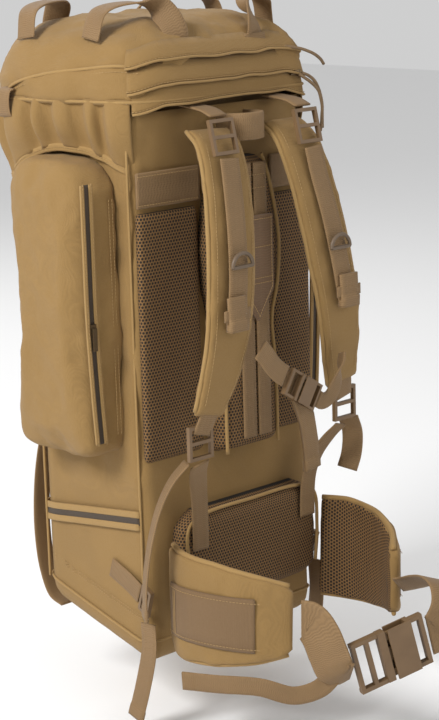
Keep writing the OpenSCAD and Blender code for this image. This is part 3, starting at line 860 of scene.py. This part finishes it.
def lid_skirt():
    """Gathered skirt under the lid with a bound elastic hem, open across the back."""
    start = compass(-134, 0)
    stop = compass(134, 0)
    turns = np.linspace(start % (2 * math.pi), stop % (2 * math.pi), 361)
    if turns[-1] > turns[0]:
        turns = np.linspace(turns[0], turns[-1] - 2 * math.pi, 361)
    top = on_lid(turns, LID_FOOT + 6, -1.0)
    run = np.concatenate([[0], np.cumsum(np.linalg.norm(np.diff(top, axis=0), axis=1))])
    phase = np.array([noise.noise(Vector((s / 60, 0, 7))) for s in run]) * 1.6
    rows = []
    for part in np.linspace(0, 1, 14):
        hem = np.maximum(skirt_hem(top[:, 1]), 562)
        z = top[:, 2] + (hem - top[:, 2]) * part
        inward = unit(np.column_stack([LID_CENTRE[0] - top[:, 0], LID_CENTRE[1] - top[:, 1],
                                       np.zeros(len(top))]))
        fold = np.sin(run / 6.4 + phase * 3 + part * 0.9 * np.sin(run / 40))
        fold = np.sign(fold) * np.abs(fold) ** 0.7
        puff = 5.5 * math.sin(math.pi * min(part * 1.15, 1.0)) - 10 * part
        depth = 6.2 * math.sin(math.pi * (0.12 + 0.8 * part))
        row = np.column_stack([top[:, 0], top[:, 1], z]) - inward * (puff + fold * depth)[:, None]
        rows.append(row)
    rows = np.array(rows)
    piece = loft("gathered skirt", rows, FABRIC, "lid", "lid_skirt", wrap=False)
    solid_cloth(piece, 1.6, 0.0)
    cloth_sheet(rows)
    webbing("skirt hem binding", rows[-1][::6], (0, 0, 1), 9, "lid", thick=3.2,
            material=BINDING, step=5)
    outwards = unit(rows[-1] - np.array([*LID_CENTRE, 600]))
    stitches("skirt hem stitching", [rows[-1][::6] + outwards[::6] * 2.1], "lid", spacing=3.6)
    return piece


LOOP_FEET = {"rear": 135, "front": 149}


def lid_lash_loops():
    path = [(60, 2.5, 702), (61, 5, 728), (70, 24, 752), (95, 42, 757)]
    pieces = []
    for name, foot in LOOP_FEET.items():
        line = path + [(foot - 10, 57, 748), (foot, 62, 719)]
        for side in (-1, 1):
            points = [(side * x, y if name == "rear" else 220 - y, z) for x, y, z in line]
            pieces.append(webbing(f"lid {name} lash loop {SIDE_NAMES[side]}", points,
                                  loop_sides(points, side), 30, None, thick=2.2))
            pieces.append(webbing(f"lid {name} loop foot {SIDE_NAMES[side]}",
                                  [(side * 58, points[0][1] - 1.5, 716),
                                   (side * 58, points[0][1] - 2.5, 694)],
                                  (1, 0, 0), 34, None, thick=3.0))
    loops = joined("lid lash loops", pieces)
    return settle(loops, "lid", "lid_loops")


def loop_sides(points, side):
    """Width direction of a lash loop: along X at its sewn foot, along Y over the top."""
    turned = []
    for k in range(len(points)):
        part = min(1.0, k / 3)
        turned.append(unit(np.array([(1 - part) * side, part, 0.0])) * side)
    return turned


def lid_side_loops():
    pieces = []
    for side in (-1, 1):
        line = [(166.5, 168, 664), (174, 170, 662), (177, 171, 650), (174, 171, 634),
                (167.6, 170, 632)]
        points = [(side * x, y, z) for x, y, z in line]
        pieces.append(webbing(f"side loop {SIDE_NAMES[side]}", points, (0, 1, 0), 25, None))
    return settle(joined("sewn lid side loops", pieces), "lid", "lid_side_loops")


# ---- Pockets ----

def pouch(name, side, low, high, corner, body, node, layers):
    """Puffed pocket on a bag side: an outline in YZ that shrinks as it stands out."""
    centre = (low + high) / 2
    half = (high - low) / 2
    outline = rounded_ring(half[1], -half[2], half[2], 20, corner)
    rows = []
    for x, inset in layers:
        shrink = 1 - inset / half[1:]
        ring = outline * shrink + centre[1:]
        rows.append(np.column_stack([np.full(len(ring), side * x), ring]))
    rows = np.array(rows)
    return loft(name, rows, FABRIC, body, node)


def side_pocket(side, label):
    low, high = box_mm("pocket_" + label)
    near, far = sorted((abs(low[0]), abs(high[0])))
    layers = [(near, 0), (near + 15, -0.5), (far - 26, -0.5), (far - 12, 1.5), (far - 5, 6),
              (far - 1, 14), (far + 1, 24), (far + 2, 40), (far + 2.5, 58)]
    low = np.array([near, low[1], low[2]])
    high = np.array([far, high[1], high[2]])
    piece = pouch(f"side pocket {label}", side, low, high, 46, "pack",
                  (), layers)
    inflate(piece, pressure=2.2, most=7.0, pinned=lambda p: abs(p[0]) < near + 3)
    shrink_to(piece, near, far + 5, low[1] - 1, high[1] + 4)
    add_creases(piece, 3.2, 42, side)
    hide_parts("pocket_" + label)
    slider_low, slider_high = box_mm("pocket_slider_" + label)
    x = (slider_low[0] + slider_high[0]) / 2
    y = low[1] - 1.2
    rail = [(x, y, 566), (x, y, 500), (x, y, 420), (x * 0.98, y, 330), (x * 0.96, y, 272)]
    webbing(f"pocket zip {label}", rail, (1, 0, 0), 9, "pack", thick=1.2, material=ZIP)
    for edge, label_edge in ((-6.0, "inner"), (6.0, "outer")):
        line = [(px + edge * side, y - 1.2, pz) for px, py, pz in rail]
        webbing(f"pocket zip {label_edge} lip {label}", line, (1, 0, 0), 5, "pack", thick=2.6,
                material=BINDING)
        stitches(f"pocket zip {label_edge} stitching {label}",
                 [[(px, py - 1.6, pz) for px, py, pz in line]], "pack")
    for x_row in (near + 8, near + 13):
        stitches(f"pocket gusset row {label} {x_row - near:.0f}",
                 [[(side * x_row, y - 1.5, 545), (side * x_row, y - 1.5, 280)]], "pack")
    return piece


def shrink_to(piece, near, far, low_y, high_y):
    """Keeps a settled pocket out of the bag wall and inside its own room."""
    mesh = piece.data
    places = np.array([v.co for v in mesh.vertices]) / MM
    side = np.sign(places[:, 0].mean())
    places[:, 0] = side * np.clip(side * places[:, 0], near, far)
    places[:, 1] = np.clip(places[:, 1], low_y, high_y)
    mesh.vertices.foreach_set("co", (places * MM).astype(np.float32).ravel())


def add_creases(piece, amount, scale, seed):
    mesh = piece.data
    normals = [v.normal.copy() for v in mesh.vertices]
    for vertex, normal in zip(mesh.vertices, normals):
        p = vertex.co / (scale * MM) + Vector((seed * 5.1, 1.3, 2.2))
        vertex.co += normal * (noise.noise(p) + 0.5 * noise.noise(p * 2.7)) * amount * MM


def front_pocket():
    low, high = box_mm("front_pocket")
    centre = (low + high) / 2
    half = (high - low) / 2
    outline = rounded_ring(half[0], -half[2], half[2], 24, 34)
    rows = []
    for y, inset in ((low[1] - 1, 0), (low[1] + 8, 0), (high[1] - 7, 2), (high[1] - 2, 8),
                     (high[1], 18), (high[1] + 1, 40), (high[1] + 1.5, 70)):
        ring = outline * (1 - inset / np.array([half[0], half[2]]))
        rows.append(np.column_stack([ring[:, 0] + centre[0], np.full(len(ring), y),
                                     ring[:, 1] + centre[2]]))
    piece = loft("padded front pocket", np.array(rows), FABRIC, "pack", "front_pocket")
    inflate(piece, pressure=2.0, most=3.0, pinned=lambda p: p[1] < low[1] + 3)
    add_creases(piece, 1.6, 40, 3)
    arch = [(-92, high[1] - 5, 300), (-92, high[1] - 2, 440), (-70, high[1], 492),
            (0, high[1] + 1, 500), (70, high[1], 492), (92, high[1] - 2, 440),
            (92, high[1] - 5, 300)]
    webbing("front pocket zip", arch, (0.05, 0.0, 1), 8, "pack", thick=1.6, material=ZIP)


def front_straps():
    pieces = [webbing(f"front webbing {SIDE_NAMES[side]}", [(side * 62, 214.6, z) for z in
                                                   (184, 260, 340, 420, 500, 514)],
                      (1, 0, 0), 25, None) for side in (-1, 1)]
    for side in (-1, 1):
        pieces.append(webbing(f"front webbing turn {SIDE_NAMES[side]}", [
            (side * 62, 214, 512), (side * 62, 213.4, 522.6), (side * 62, 206, 525.6),
            (side * 62, 201.4, 529)], (1, 0, 0), 25, None))
    settle(joined("sewn front webbing", pieces), "pack", "front_webbing")
    pieces = [webbing(f"lid strap {SIDE_NAMES[side]}", [
        (side * 62, 221.6, 578.4), (side * 62, 225.6, 587), (side * 62, 228, 594),
        (side * 62, 228.5, 642)], (1, 0, 0), 25, None) for side in (-1, 1)]
    settle(joined("lid front straps", pieces), "lid", "front_straps")


def lash_straps():
    path = [(191.6, 246), (199, 225), (209, 180), (213, 120), (206, 72), (190, 42), (168, 35)]
    pieces = [webbing(f"lash strap {SIDE_NAMES[side]}", [(side * 119, y, z) for y, z in path],
                      (1, 0, 0), 25, None) for side in (-1, 1)]
    settle(joined("looped base lash straps", pieces), "pack", "base_lash_straps")


def base_zip():
    out = BAG_W + 3.4
    front = BAG_D + 6.5
    half = [(out, 8), (out, 60), (out, 120), (out - 0.4, 168), (out - 9, front - 8),
            (out - 29, front - 1), (50, front), (0, front)]
    plan = [(-x, y) for x, y in half] + half[-2::-1]
    line = np.array([(x, y, 178 - 24 * y / BAG_D) for x, y in plan])
    webbing("base zip tape", line, (0, 0, 1), 10, "pack", ("base_zip",), thick=1.2,
            material=ZIP, step=6)
    for lift, label in ((7.5, "upper"), (-7.5, "lower")):
        webbing(f"base zip {label} lip", line + [0, 0, lift], (0, 0, 1), 8, "pack",
                thick=2.6, material=BINDING, step=6)


# ---- Back and harness ----

def rounded_section(count, power):
    """Half outline of a crowned pad: 1 to -1 across and 0 to 1 deep."""
    angles = np.linspace(0, math.pi, count)
    across = np.sign(np.cos(angles)) * np.abs(np.cos(angles)) ** power
    return across, np.sin(angles) ** power


def pad_column(name, heights, centre_x, half_x, depth, y_back, material, body, node=(),
               power=0.35, edge=10.0):
    """Crowned pad on the bag's back. Its half width and centre are given by height."""
    across, deep = rounded_section(31, power)
    z_low, z_high = heights[0], heights[-1]
    rows = []
    for z in np.arange(z_low, z_high + 0.1, 4.0):
        close = min(z - z_low, z_high - z) / edge
        taper = math.sqrt(max(1 - (1 - min(close, 1)) ** 2, 0.0))
        half = np.interp(z, heights, half_x) - edge * 0.4 * (1 - taper)
        centre = np.interp(z, heights, centre_x)
        thick = depth * (0.35 + 0.65 * taper)
        front = np.column_stack([centre + half * across, y_back - thick * deep,
                                 np.full(len(across), z)])
        rows.append(front)
    return loft(name, rows, material, body, node)


def mesh_backs():
    spots = [("left", -133, -45, 246, 531), ("right", 70, 133, 246, 531)]
    pieces = []
    for label, low, high, z_low, z_high in spots:
        pieces.append(pad_column(
            f"mesh back pad {label}", [z_low, z_high], [(low + high) / 2] * 2,
            [(high - low) / 2] * 2, 8.0, 0.0, MESH, None))
    pads = settle(joined("mesh back pads", pieces), "pack", "mesh_pads")
    heights = [240, 300, 345, 392, 430, 480, 530, 560, 582]
    halves = [46, 46, 44, 41, 51, 55, 47, 39, 30]
    spine = pad_column("spine yoke pad", heights, [HARNESS_X] * 9, halves, 30.0, 0.0, MESH,
                       "pack", "spine_pad", power=0.45, edge=14.0)
    for side in (-1, 1):
        line = [(HARNESS_X + side * (h - 5), -27.0, z) for z, h in zip(heights, halves)]
        tube(f"yoke piping {SIDE_NAMES[side]}", line, 2.2, BINDING, "pack", step=6)
    low, high = LUMBAR_LOW, LUMBAR_HIGH
    centre = (low[0] + high[0]) / 2
    half = (high[0] - low[0]) / 2
    heights = [low[2], low[2] + 14, (low[2] + high[2]) / 2, high[2] - 18, high[2]]
    lumbar = pad_column("lumbar cushion", heights, [centre] * 5,
                        [half - 14, half - 2, half, half - 5, half - 22], 25.0, 0.0, MESH,
                        "pack", "lumbar_pad", power=0.42, edge=18.0)
    rim = [(centre - half + 8, -22, low[2] + 16), (centre - half + 6, -24, 118),
           (centre - half + 12, -22, 166), (centre, -21, high[2] - 2),
           (centre + half - 12, -22, 166), (centre + half - 6, -24, 118),
           (centre + half - 8, -22, low[2] + 16)]
    tube("lumbar piping", rim, 2.2, BINDING, "pack", step=6)


def back_webbings():
    pieces = [webbing("upper band left", [(-133, -4, 556), (-90, -4.5, 556), (-40, -4, 556)],
                      (0, 0, 1), 40, None, thick=3.0),
              webbing("upper band right", [(133, -4, 556), (100, -4.5, 556), (72, -4, 556)],
                      (0, 0, 1), 40, None, thick=3.0)]
    for shift in (-11.5, 12.5):
        pieces.append(webbing(f"spine webbing {SIDE_NAMES[np.sign(shift)]}", [
            (16 + shift, -31.5, z) for z in (254, 330, 410, 500, 574)], (1, 0, 0), 21, None,
            thick=2.6))
    settle(joined("sewn back webbing", pieces), "pack", "back_webbing")
    rows = [[(x, -7.4, z) for x in (-132, -110, -88, -66, -46)] for z in (540, 572)]
    rows += [[(16 + x, -33.4, z) for x in (-18, 0, 18)] for z in (560, 545)]
    stitches("back webbing stitching", rows, "pack")
    outline = [(-25, 514), (25, 514), (25, 428), (0, 391), (-25, 428)]
    tab = plate("stitched torso tab", [(16 + x, z) for x, z in outline], -40.0, -33.5, WEBBING_TAB,
                "pack", "torso_tab")
    bevelled(tab, 1.6, 3)
    edge = [(-21, 510), (21, 510), (21, 430), (0, 398), (-21, 430), (-21, 510)]
    lines = [[(16 + x, -40.4, z) for x, z in pair] for pair in zip(edge, edge[1:])]
    lines += [[(16 - 21, -40.4, z), (16 + 21, -40.4, z)] for z in (436, 442, 478)]
    stitches("torso tab stitching", lines, "pack", spacing=3.4)


def plate(name, outline, y_front, y_back, material, body, node=()):
    count = len(outline)
    verts = [(x, y, z) for y in (y_front, y_back) for x, z in outline]
    faces = [tuple(range(count)), tuple(range(2 * count - 1, count - 1, -1))]
    faces += [(k, (k + 1) % count, count + (k + 1) % count, count + k) for k in range(count)]
    uv = []
    for face in faces:
        for corner in face:
            x, y, z = verts[corner]
            uv.append((0.5 + (x - verts[0][0]) / 60, z * MM))
    return as_piece(name, verts, faces, material, body, node, uv)


def haul_loop():
    half = [(-21, -4, 616), (-22, -26, 616.5), (-17, -39, 617), (-8, -43.5, 617), (0, -44, 617)]
    line = [(HARNESS_X + x, y, z) for x, y, z in half]
    line += [(HARNESS_X - x, y, z) for x, y, z in half[-2::-1]]
    webbing("sewn haul loop", line, (0, 0, 1), 31, "haul_loop", ("haul_loop",), thick=3.0)


STRAP_PATH = [
    (57, -24, 616, 58), (59, -44, 602, 62), (64, -61, 566, 66), (71, -73, 515, 68),
    (79, -81, 458, 68), (88, -84, 402, 64), (98, -77, 348, 56), (108, -67, 306, 44)
]
STRAP_WEB_PATH = [(66, -70, 589), (68, -76, 560), (74, -87, 512), (81, -95, 458), (89, -98, 408)]
FREE_TAILS = {
    -1: [(-119, -56, 255), (-135, -48, 236), (-149, -40, 205), (-160, -34, 160),
         (-166, -31, 115), (-165, -28, 76)],
    1: [(144, -56, 256), (158, -50, 232), (160, -46, 205), (154, -44, 186)],
}
SIDES = ((-1, "left"), (1, "right"))


def shoulder_pads():
    across, deep = rounded_section(17, 0.4)
    section = np.vstack([np.column_stack([across, -deep]), np.column_stack([-across, deep])[1:-1]])
    for side, label in SIDES:
        points = [(HARNESS_X + side * u, y, z) for u, y, z, w in STRAP_PATH]
        points, widths = resample(points, 4.0, [[w] for *_, w in STRAP_PATH])
        _, across_dir, normal = frames(points, sides_for(points, (1, 0, 0)))
        steps = np.arange(len(points)) * 4.0
        ends = np.minimum(np.minimum(steps, steps[::-1]) / 12.0, 1.0)
        taper = np.sqrt(1 - (1 - ends) ** 2) * 0.75 + 0.25
        rows = []
        for k, point in enumerate(points):
            a = section[:, :1] * (widths[k, 0] / 2 - 1.5)
            b = section[:, 1:] * 7.4 * taper[k]
            rows.append(point + a * across_dir[k] + b * normal[k])
        rows = creases(rows, 1.5, 22, side * 3.0)
        pad = loft(f"shoulder pad {label}", rows, FABRIC, label + "_strap",
                   "strap_pad_" + label)
        pad.data.materials.append(MESH)
        first, count = len(across), len(section)
        for index, polygon in enumerate(pad.data.polygons):
            around = index % count
            if first + 1 < around < count - 2 and index < (len(points) - 1) * count:
                centre = polygon.center / MM
                nearest = np.argmin(np.linalg.norm(points - np.array(centre), axis=1))
                if (np.array(centre) - points[nearest]) @ np.array([0, 1, 0]) > 3:
                    polygon.material_index = 1
        for edge in (-1, 1):
            line = points + across_dir * (edge * (widths / 2 - 1.0))
            tube(f"shoulder pad binding {label} {EDGE_NAMES[edge]}", line[::2], 2.6, BINDING,
                 label + "_strap", step=6)
            row = points + across_dir * (edge * (widths / 2 - 7.5))
            front = np.where(normal[:, 1:2] < 0, normal, -normal)
            stitches(f"shoulder pad stitching {label} {EDGE_NAMES[edge]}",
                     [(row + front * 7.2)[4:-4:3]], label + "_strap")
        strap_webbings(side, label)


def strap_webbings(side, label):
    body = label + "_strap"
    line = [(HARNESS_X + side * u, y, z) for u, y, z in STRAP_WEB_PATH]
    pieces = [webbing("pad webbing " + label, line, (1, 0, 0), 28, None, thick=2.6)]
    tail = FREE_TAILS[side]
    pieces.append(webbing("free tail " + label, tail, (0.5, 0.8, 0) if side < 0
                          else (0.6, -0.8, 0), 25, None, fold=True))
    settle(joined("shoulder webbing " + label, pieces), body, "strap_web_" + label)
    top = np.array(line[-1])
    folded = [top + (0, -2.4, 34), top + (0, -3.2, 12), top + (0, -2.6, -4)]
    webbing("webbing sewn end " + label, folded, (1, 0, 0), 29, body, thick=4.2, fold=True)
    keeper = top + np.array([0, -4.2, 14])
    webbing("keeper band " + label, [keeper - (19, -2, 0), keeper, keeper + (19, 2, 0)],
            (0, 0, 1), 13, body, thick=2.4)
    lock_tab = [(104, -74, 326), (109, -70, 306), (113, -66, 292), (115, -64.5, 285)]
    webbing("lower lock tab " + label, [(HARNESS_X + side * u, y, z) for u, y, z in lock_tab],
            (1, 0, 0), 28, body, thick=2.8)
    stitches("keeper stitching " + label, [
        [top + (x, -6.2, 2) for x in (-12, 0, 12)], [top + (x, -6.2, -2) for x in (-12, 0, 12)]],
        body)
    upper = [(64, -2.5, 644), (65, -18, 643), (66, -40, 640), (66, -54.5, 634.5)]
    lower = [(115, -60, 250), (107, -48, 235), (96, -36, 212), (90, -30, 188), (88, -28, 160),
             (88, -27.6, 136)]
    for name, path, width in (("load lifter", upper, 26), ("lower webbing", lower, 25)):
        points = [(HARNESS_X + side * u, y, z) for u, y, z in path]
        piece = webbing(f"{name} {label}", points, (1, 0, 0), width, None, thick=2.4)
        if name == "load lifter":
            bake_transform(piece)
        else:
            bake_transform(piece)


def sternum_strap():
    y = -103
    left = [(-46, y, 378), (-38, y, 370), (-28, y, 357), (-16, y, 346), (-8, y, 341)]
    piece = webbing("sternum webbing left", left, (0.6, 0, 0.8), 25, None, thick=2.4)
    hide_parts("sternum_web_left")
    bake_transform(piece)
    right = [(44, y, 304.5), (51, y, 300.5), (62, y, 302), (73, y, 313), (82, y + 1, 330),
             (90, y + 4, 350)]
    webbing("sternum webbing right", right, (0.3, 0, 1), 20, "sternum", "sternum_web_right",
            thick=2.4)
    tail = [(2, y + 8, 338), (22, y + 9, 312), (38, y + 13, 280), (48, y + 17, 246),
            (53, y + 20, 216)]
    webbing("sternum tail", tail, (1, 0, 0.3), 25.4, "sternum_male", thick=3.0, fold=True)


# ---- Hip belt ----

WING_PATH = [
    (122, -18, 24, 150), (137, -50, 22, 150), (133, -98, 26, 146),
    (112, -142, 34, 136), (84, -170, 44, 124)
]


def hip_wings():
    across, deep = rounded_section(21, 0.33)
    section = np.vstack([np.column_stack([across, -deep]), np.column_stack([-across, deep])[1:-1]])
    for side, label in SIDES:
        body = label + "_wing"
        path = [(HARNESS_X + side * u, y, (low + high) / 2) for u, y, low, high in WING_PATH]
        heights = [[high - low] for u, y, low, high in WING_PATH]
        points, tall = resample(path, 4.0, heights)
        _, up, normal = frames(points, sides_for(points, (0, 0, 1)))
        steps = np.arange(len(points)) * 4.0
        ends = np.minimum(np.minimum(steps + 6, steps[::-1] + 1) / 16.0, 1.0)
        taper = np.sqrt(1 - (1 - ends) ** 2)
        rows = []
        for k, point in enumerate(points):
            a = section[:, :1] * (tall[k, 0] / 2 - 2 - 8 * (1 - taper[k]))
            b = section[:, 1:] * 7.6 * (0.3 + 0.7 * taper[k])
            rows.append(point + a * up[k] + b * normal[k])
        rows = creases(rows, 2.6, 32, side * 7.0)
        pad = loft("hip wing " + label, rows, FABRIC, body, "wing_pad_" + label)
        pad.data.materials.append(MESH)
        inside = np.array([HARNESS_X, -60.0])
        for polygon in pad.data.polygons:
            centre = np.array(polygon.center)[:2] / MM
            flat = np.array(polygon.normal)[:2]
            if flat @ unit(inside - centre) > 0.5:
                polygon.material_index = 1
        for edge in (-1, 1):
            line = points + up * (edge * (tall / 2 - 1.0))
            tube(f"wing binding {label} {EDGE_NAMES[edge]}", line[::2], 3.4 if edge > 0 else 2.8,
                 BINDING, body, step=6)
        outer = normal * np.where(normal[:, :1] * side > 0, 1, -1)
        wing_sleeve(label, body, points, up, outer)


def wing_sleeve(label, body, points, up, outer):
    """Sleeve that carries the belt webbing along the outside of a wing."""
    keep = slice(6, len(points) - 8)
    line = points[keep] + outer[keep] * 9.4 - up[keep] * 4.0
    # The sleeve is drawn in the darker copy of the fabric, painted shade.
    webbing("belt sleeve " + label, line[::3], up[keep][::3], 64, body, thick=3.4,
                    material=SHADED_FABRIC, crown=0.0)
    rows = [(line + up[keep] * lift + outer[keep] * 2.2)[::4] for lift in (-27, 27)]
    stitches("sleeve stitching " + label, rows, body)
    end = line[2] + outer[keep][2] * 2.4
    bars = [[end + up[keep][2] * h + unit(points[7] - points[6]) * d for h in (-24, 0, 24)]
            for d in (0, 4)]
    stitches("sleeve bar tack " + label, bars, body, spacing=2.6)


BELT_LEFT = [(-66, -178, 84), (-60.5, -187, 83), (-57, -198, 70), (-54.5, -208, 48),
             (-51, -215, 31), (-43.4, -219.5, 25), (-34, -223, 27.5)]
BELT_TAIL = [(-44, -202, 18), (-52, -190, 3), (-70, -168, -6), (-96, -140, 4), (-122, -98, 4),
             (-138, -58, 2)]
BELT_RIGHT = [(58, -257, 52.6), (67, -260.5, 55.5), (75, -265, 68), (82, -266, 84),
              (90, -256, 98), (98, -236, 102), (104, -212, 96), (102, -192, 88), (94, -178.5, 84)]


def belt_webbing():
    left = webbing("belt webbing left", BELT_LEFT, belt_sides(BELT_LEFT, False), 50, None,
                   thick=2.4)
    tail = webbing("belt tail", BELT_TAIL, (0, 0, 1), 22, None, fold=True)
    settle(joined("belt webbing left", [left, tail]), "left_wing", "belt_web_left")
    webbing("belt webbing right", BELT_RIGHT, belt_sides(BELT_RIGHT, True), 50,
            "right_wing", "belt_web_right", thick=2.4)


def belt_sides(path, from_clasp):
    """Width direction of the wide webbing, kept square to it as it loops."""
    points = np.array(path, float)
    tangent = unit(np.gradient(points, axis=0))
    sides, last = [], np.array([-0.25, 0.1, 0.96]) if from_clasp else np.array([0.0, 0.0, 1.0])
    for t in tangent:
        last = unit(last - (last @ t) * t)
        sides.append(last)
    return np.array(sides)


def stabilisers():
    left = [(-136.5, 62, 110), (-138, 30, 99), (-141, 8, 90.8)]
    left_tail = [(-147, -12, 61), (-149, -14, 30), (-153, -6, -14), (-156, 6, -56)]
    right = [(136.5, 64, 104), (138.4, 42, 96), (141.2, 23.6, 88.4)]
    right_tail = [(146, 6, 61), (147, 5, 20), (150, 13, -20), (152, 20, -54)]
    pieces = [webbing("stabiliser left", left, (0, -0.34, 0.94), 25, None),
              webbing("stabiliser tail left", left_tail, (0, 1, 0.3), 25, None, fold=True),
              webbing("stabiliser right", right, (0, -0.34, 0.94), 25, None),
              webbing("stabiliser tail right", right_tail, (0, 1, 0.3), 25, None, fold=True)]
    settle(joined("sewn stabiliser straps", pieces), "pack", "stabiliser_straps")


# ---- Free cords of the lid's zip pulls ----

PULL_UPPER = [(98, -1, 698), (105, -5, 697.5), (113, -9, 696), (121, -12, 694),
              (129, -14.5, 691), (137, -16, 687.5), (145, -16, 683), (151, -15.5, 678.5),
              (155, -15, 674)]
PULL_LOWER_A = [(115, -14, 665), (120, -17, 661), (126, -19.5, 656.5), (132, -21, 651.5),
                (137.5, -22.5, 645), (140.5, -23.5, 635), (142, -24, 625), (142, -23, 615),
                (142, -22, 605), (141, -21, 597)]
PULL_LOWER_B = [(121, -13.5, 666), (129, -15.5, 662.5), (136, -18, 656), (141, -19, 647.5),
                (145, -19, 637), (147, -19, 627), (148, -18, 617), (149, -17, 607),
                (150, -16, 600)]


def zip_pull(name, route, body):
    line = resample(route, 2.6)
    made = tube(name, route, 1.9, CORD, None, step=2.6)
    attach(made, body)
    return made


def zip_pulls():
    upper = zip_pull("upper zip pull", PULL_UPPER, "lid_slider")
    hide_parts("lid_pull_upper")
    lower = zip_pull("lower zip pull", PULL_LOWER_A, "lid")
    zip_pull("lower zip pull end", PULL_LOWER_B, "lid")
    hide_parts("lid_pull_lower")


# ---- CAD parts that are shown as made ----

def dress_cad_nodes():
    finishes = [
        (PLASTIC, 0.8, ["cord_lock_barrel", "cord_lock_button", "front_buckle_females",
                        "front_buckle_males", "stabiliser_locks", "sternum_male",
                        "sternum_female", "hip_male", "hip_female", "strap_locks_left",
                        "strap_locks_right"]),
        (ZIP_METAL, 0.3, ["pocket_slider_left", "pocket_slider_right", "base_slider",
                          "lid_slider_lower", "lid_slider_upper"]),
        (METAL, 0.0, ["stays"]),
        (COATED_METAL, 0.0, ["d_ring_left", "d_ring_right"]),
        (SHEET_PLASTIC, 0.3, ["frame_sheet"]),
        (LINING, 0.0, ["lid_floor"]),
    ]
    for material, softness, nodes in finishes:
        for node in nodes:
            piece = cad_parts[node]
            piece.data.materials.clear()
            piece.data.materials.append(material)
            if softness:
                bevelled(piece, softness)


WEAVE = weave_group()
RIBS = ribs_group()
FABRIC = cloth_material("coyote fabric", (0.30, 0.176, 0.054), (0.185, 0.105, 0.030))
BINDING = cloth_material("edge binding", (0.36, 0.22, 0.075), (0.24, 0.14, 0.046), 0.0016)
LINING = cloth_material("lining", (0.22, 0.135, 0.055), (0.14, 0.085, 0.035), 0.0010)
WEBBING = webbing_material("webbing", (0.25, 0.148, 0.06), (0.15, 0.086, 0.034))
ZIP = webbing_material("zip tape", (0.07, 0.045, 0.025), (0.03, 0.02, 0.012), 0.0015)
CORD = webbing_material("cord", (0.21, 0.13, 0.06), (0.13, 0.08, 0.04), 0.0012)
THREAD = plain_material("thread", (0.37, 0.235, 0.095), 0.7)
PLASTIC = plastic_material("buckle plastic", (0.18, 0.105, 0.046), (0.13, 0.075, 0.033))
SHEET_PLASTIC = plastic_material("frame sheet", (0.5, 0.5, 0.48), (0.4, 0.4, 0.38))
METAL = metal_material("aluminium", (0.55, 0.53, 0.50))
ZIP_METAL = metal_material("zip metal", (0.16, 0.11, 0.06))
COATED_METAL = plastic_material("coated metal", (0.15, 0.10, 0.06), (0.10, 0.066, 0.038))
STITCHES = stitch_tree()
WEBBING_TAB = webbing_material("tab webbing", (0.17, 0.095, 0.045), (0.11, 0.063, 0.032), 0.003)
# A darker copy of the coyote fabric: painted shade on the belt sleeves.
SHADED_FABRIC = cloth_material("sleeve fabric", (0.20, 0.118, 0.052), (0.13, 0.075, 0.033))
MESH = net_material("spacer mesh")

place_camera()
zip_pulls()
bag_body()
collar()
lid_dome()
lid_flap_tiers()
lid_skirt()
lid_lash_loops()
lid_side_loops()
for pocket_side, pocket_label in SIDES:
    side_pocket(pocket_side, pocket_label)
front_pocket()
front_straps()
lash_straps()
base_zip()
mesh_backs()
back_webbings()
haul_loop()
shoulder_pads()
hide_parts("load_lifters")
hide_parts("lower_webs")
sternum_strap()
hip_wings()
belt_webbing()
stabilisers()
dress_cad_nodes()
studio()
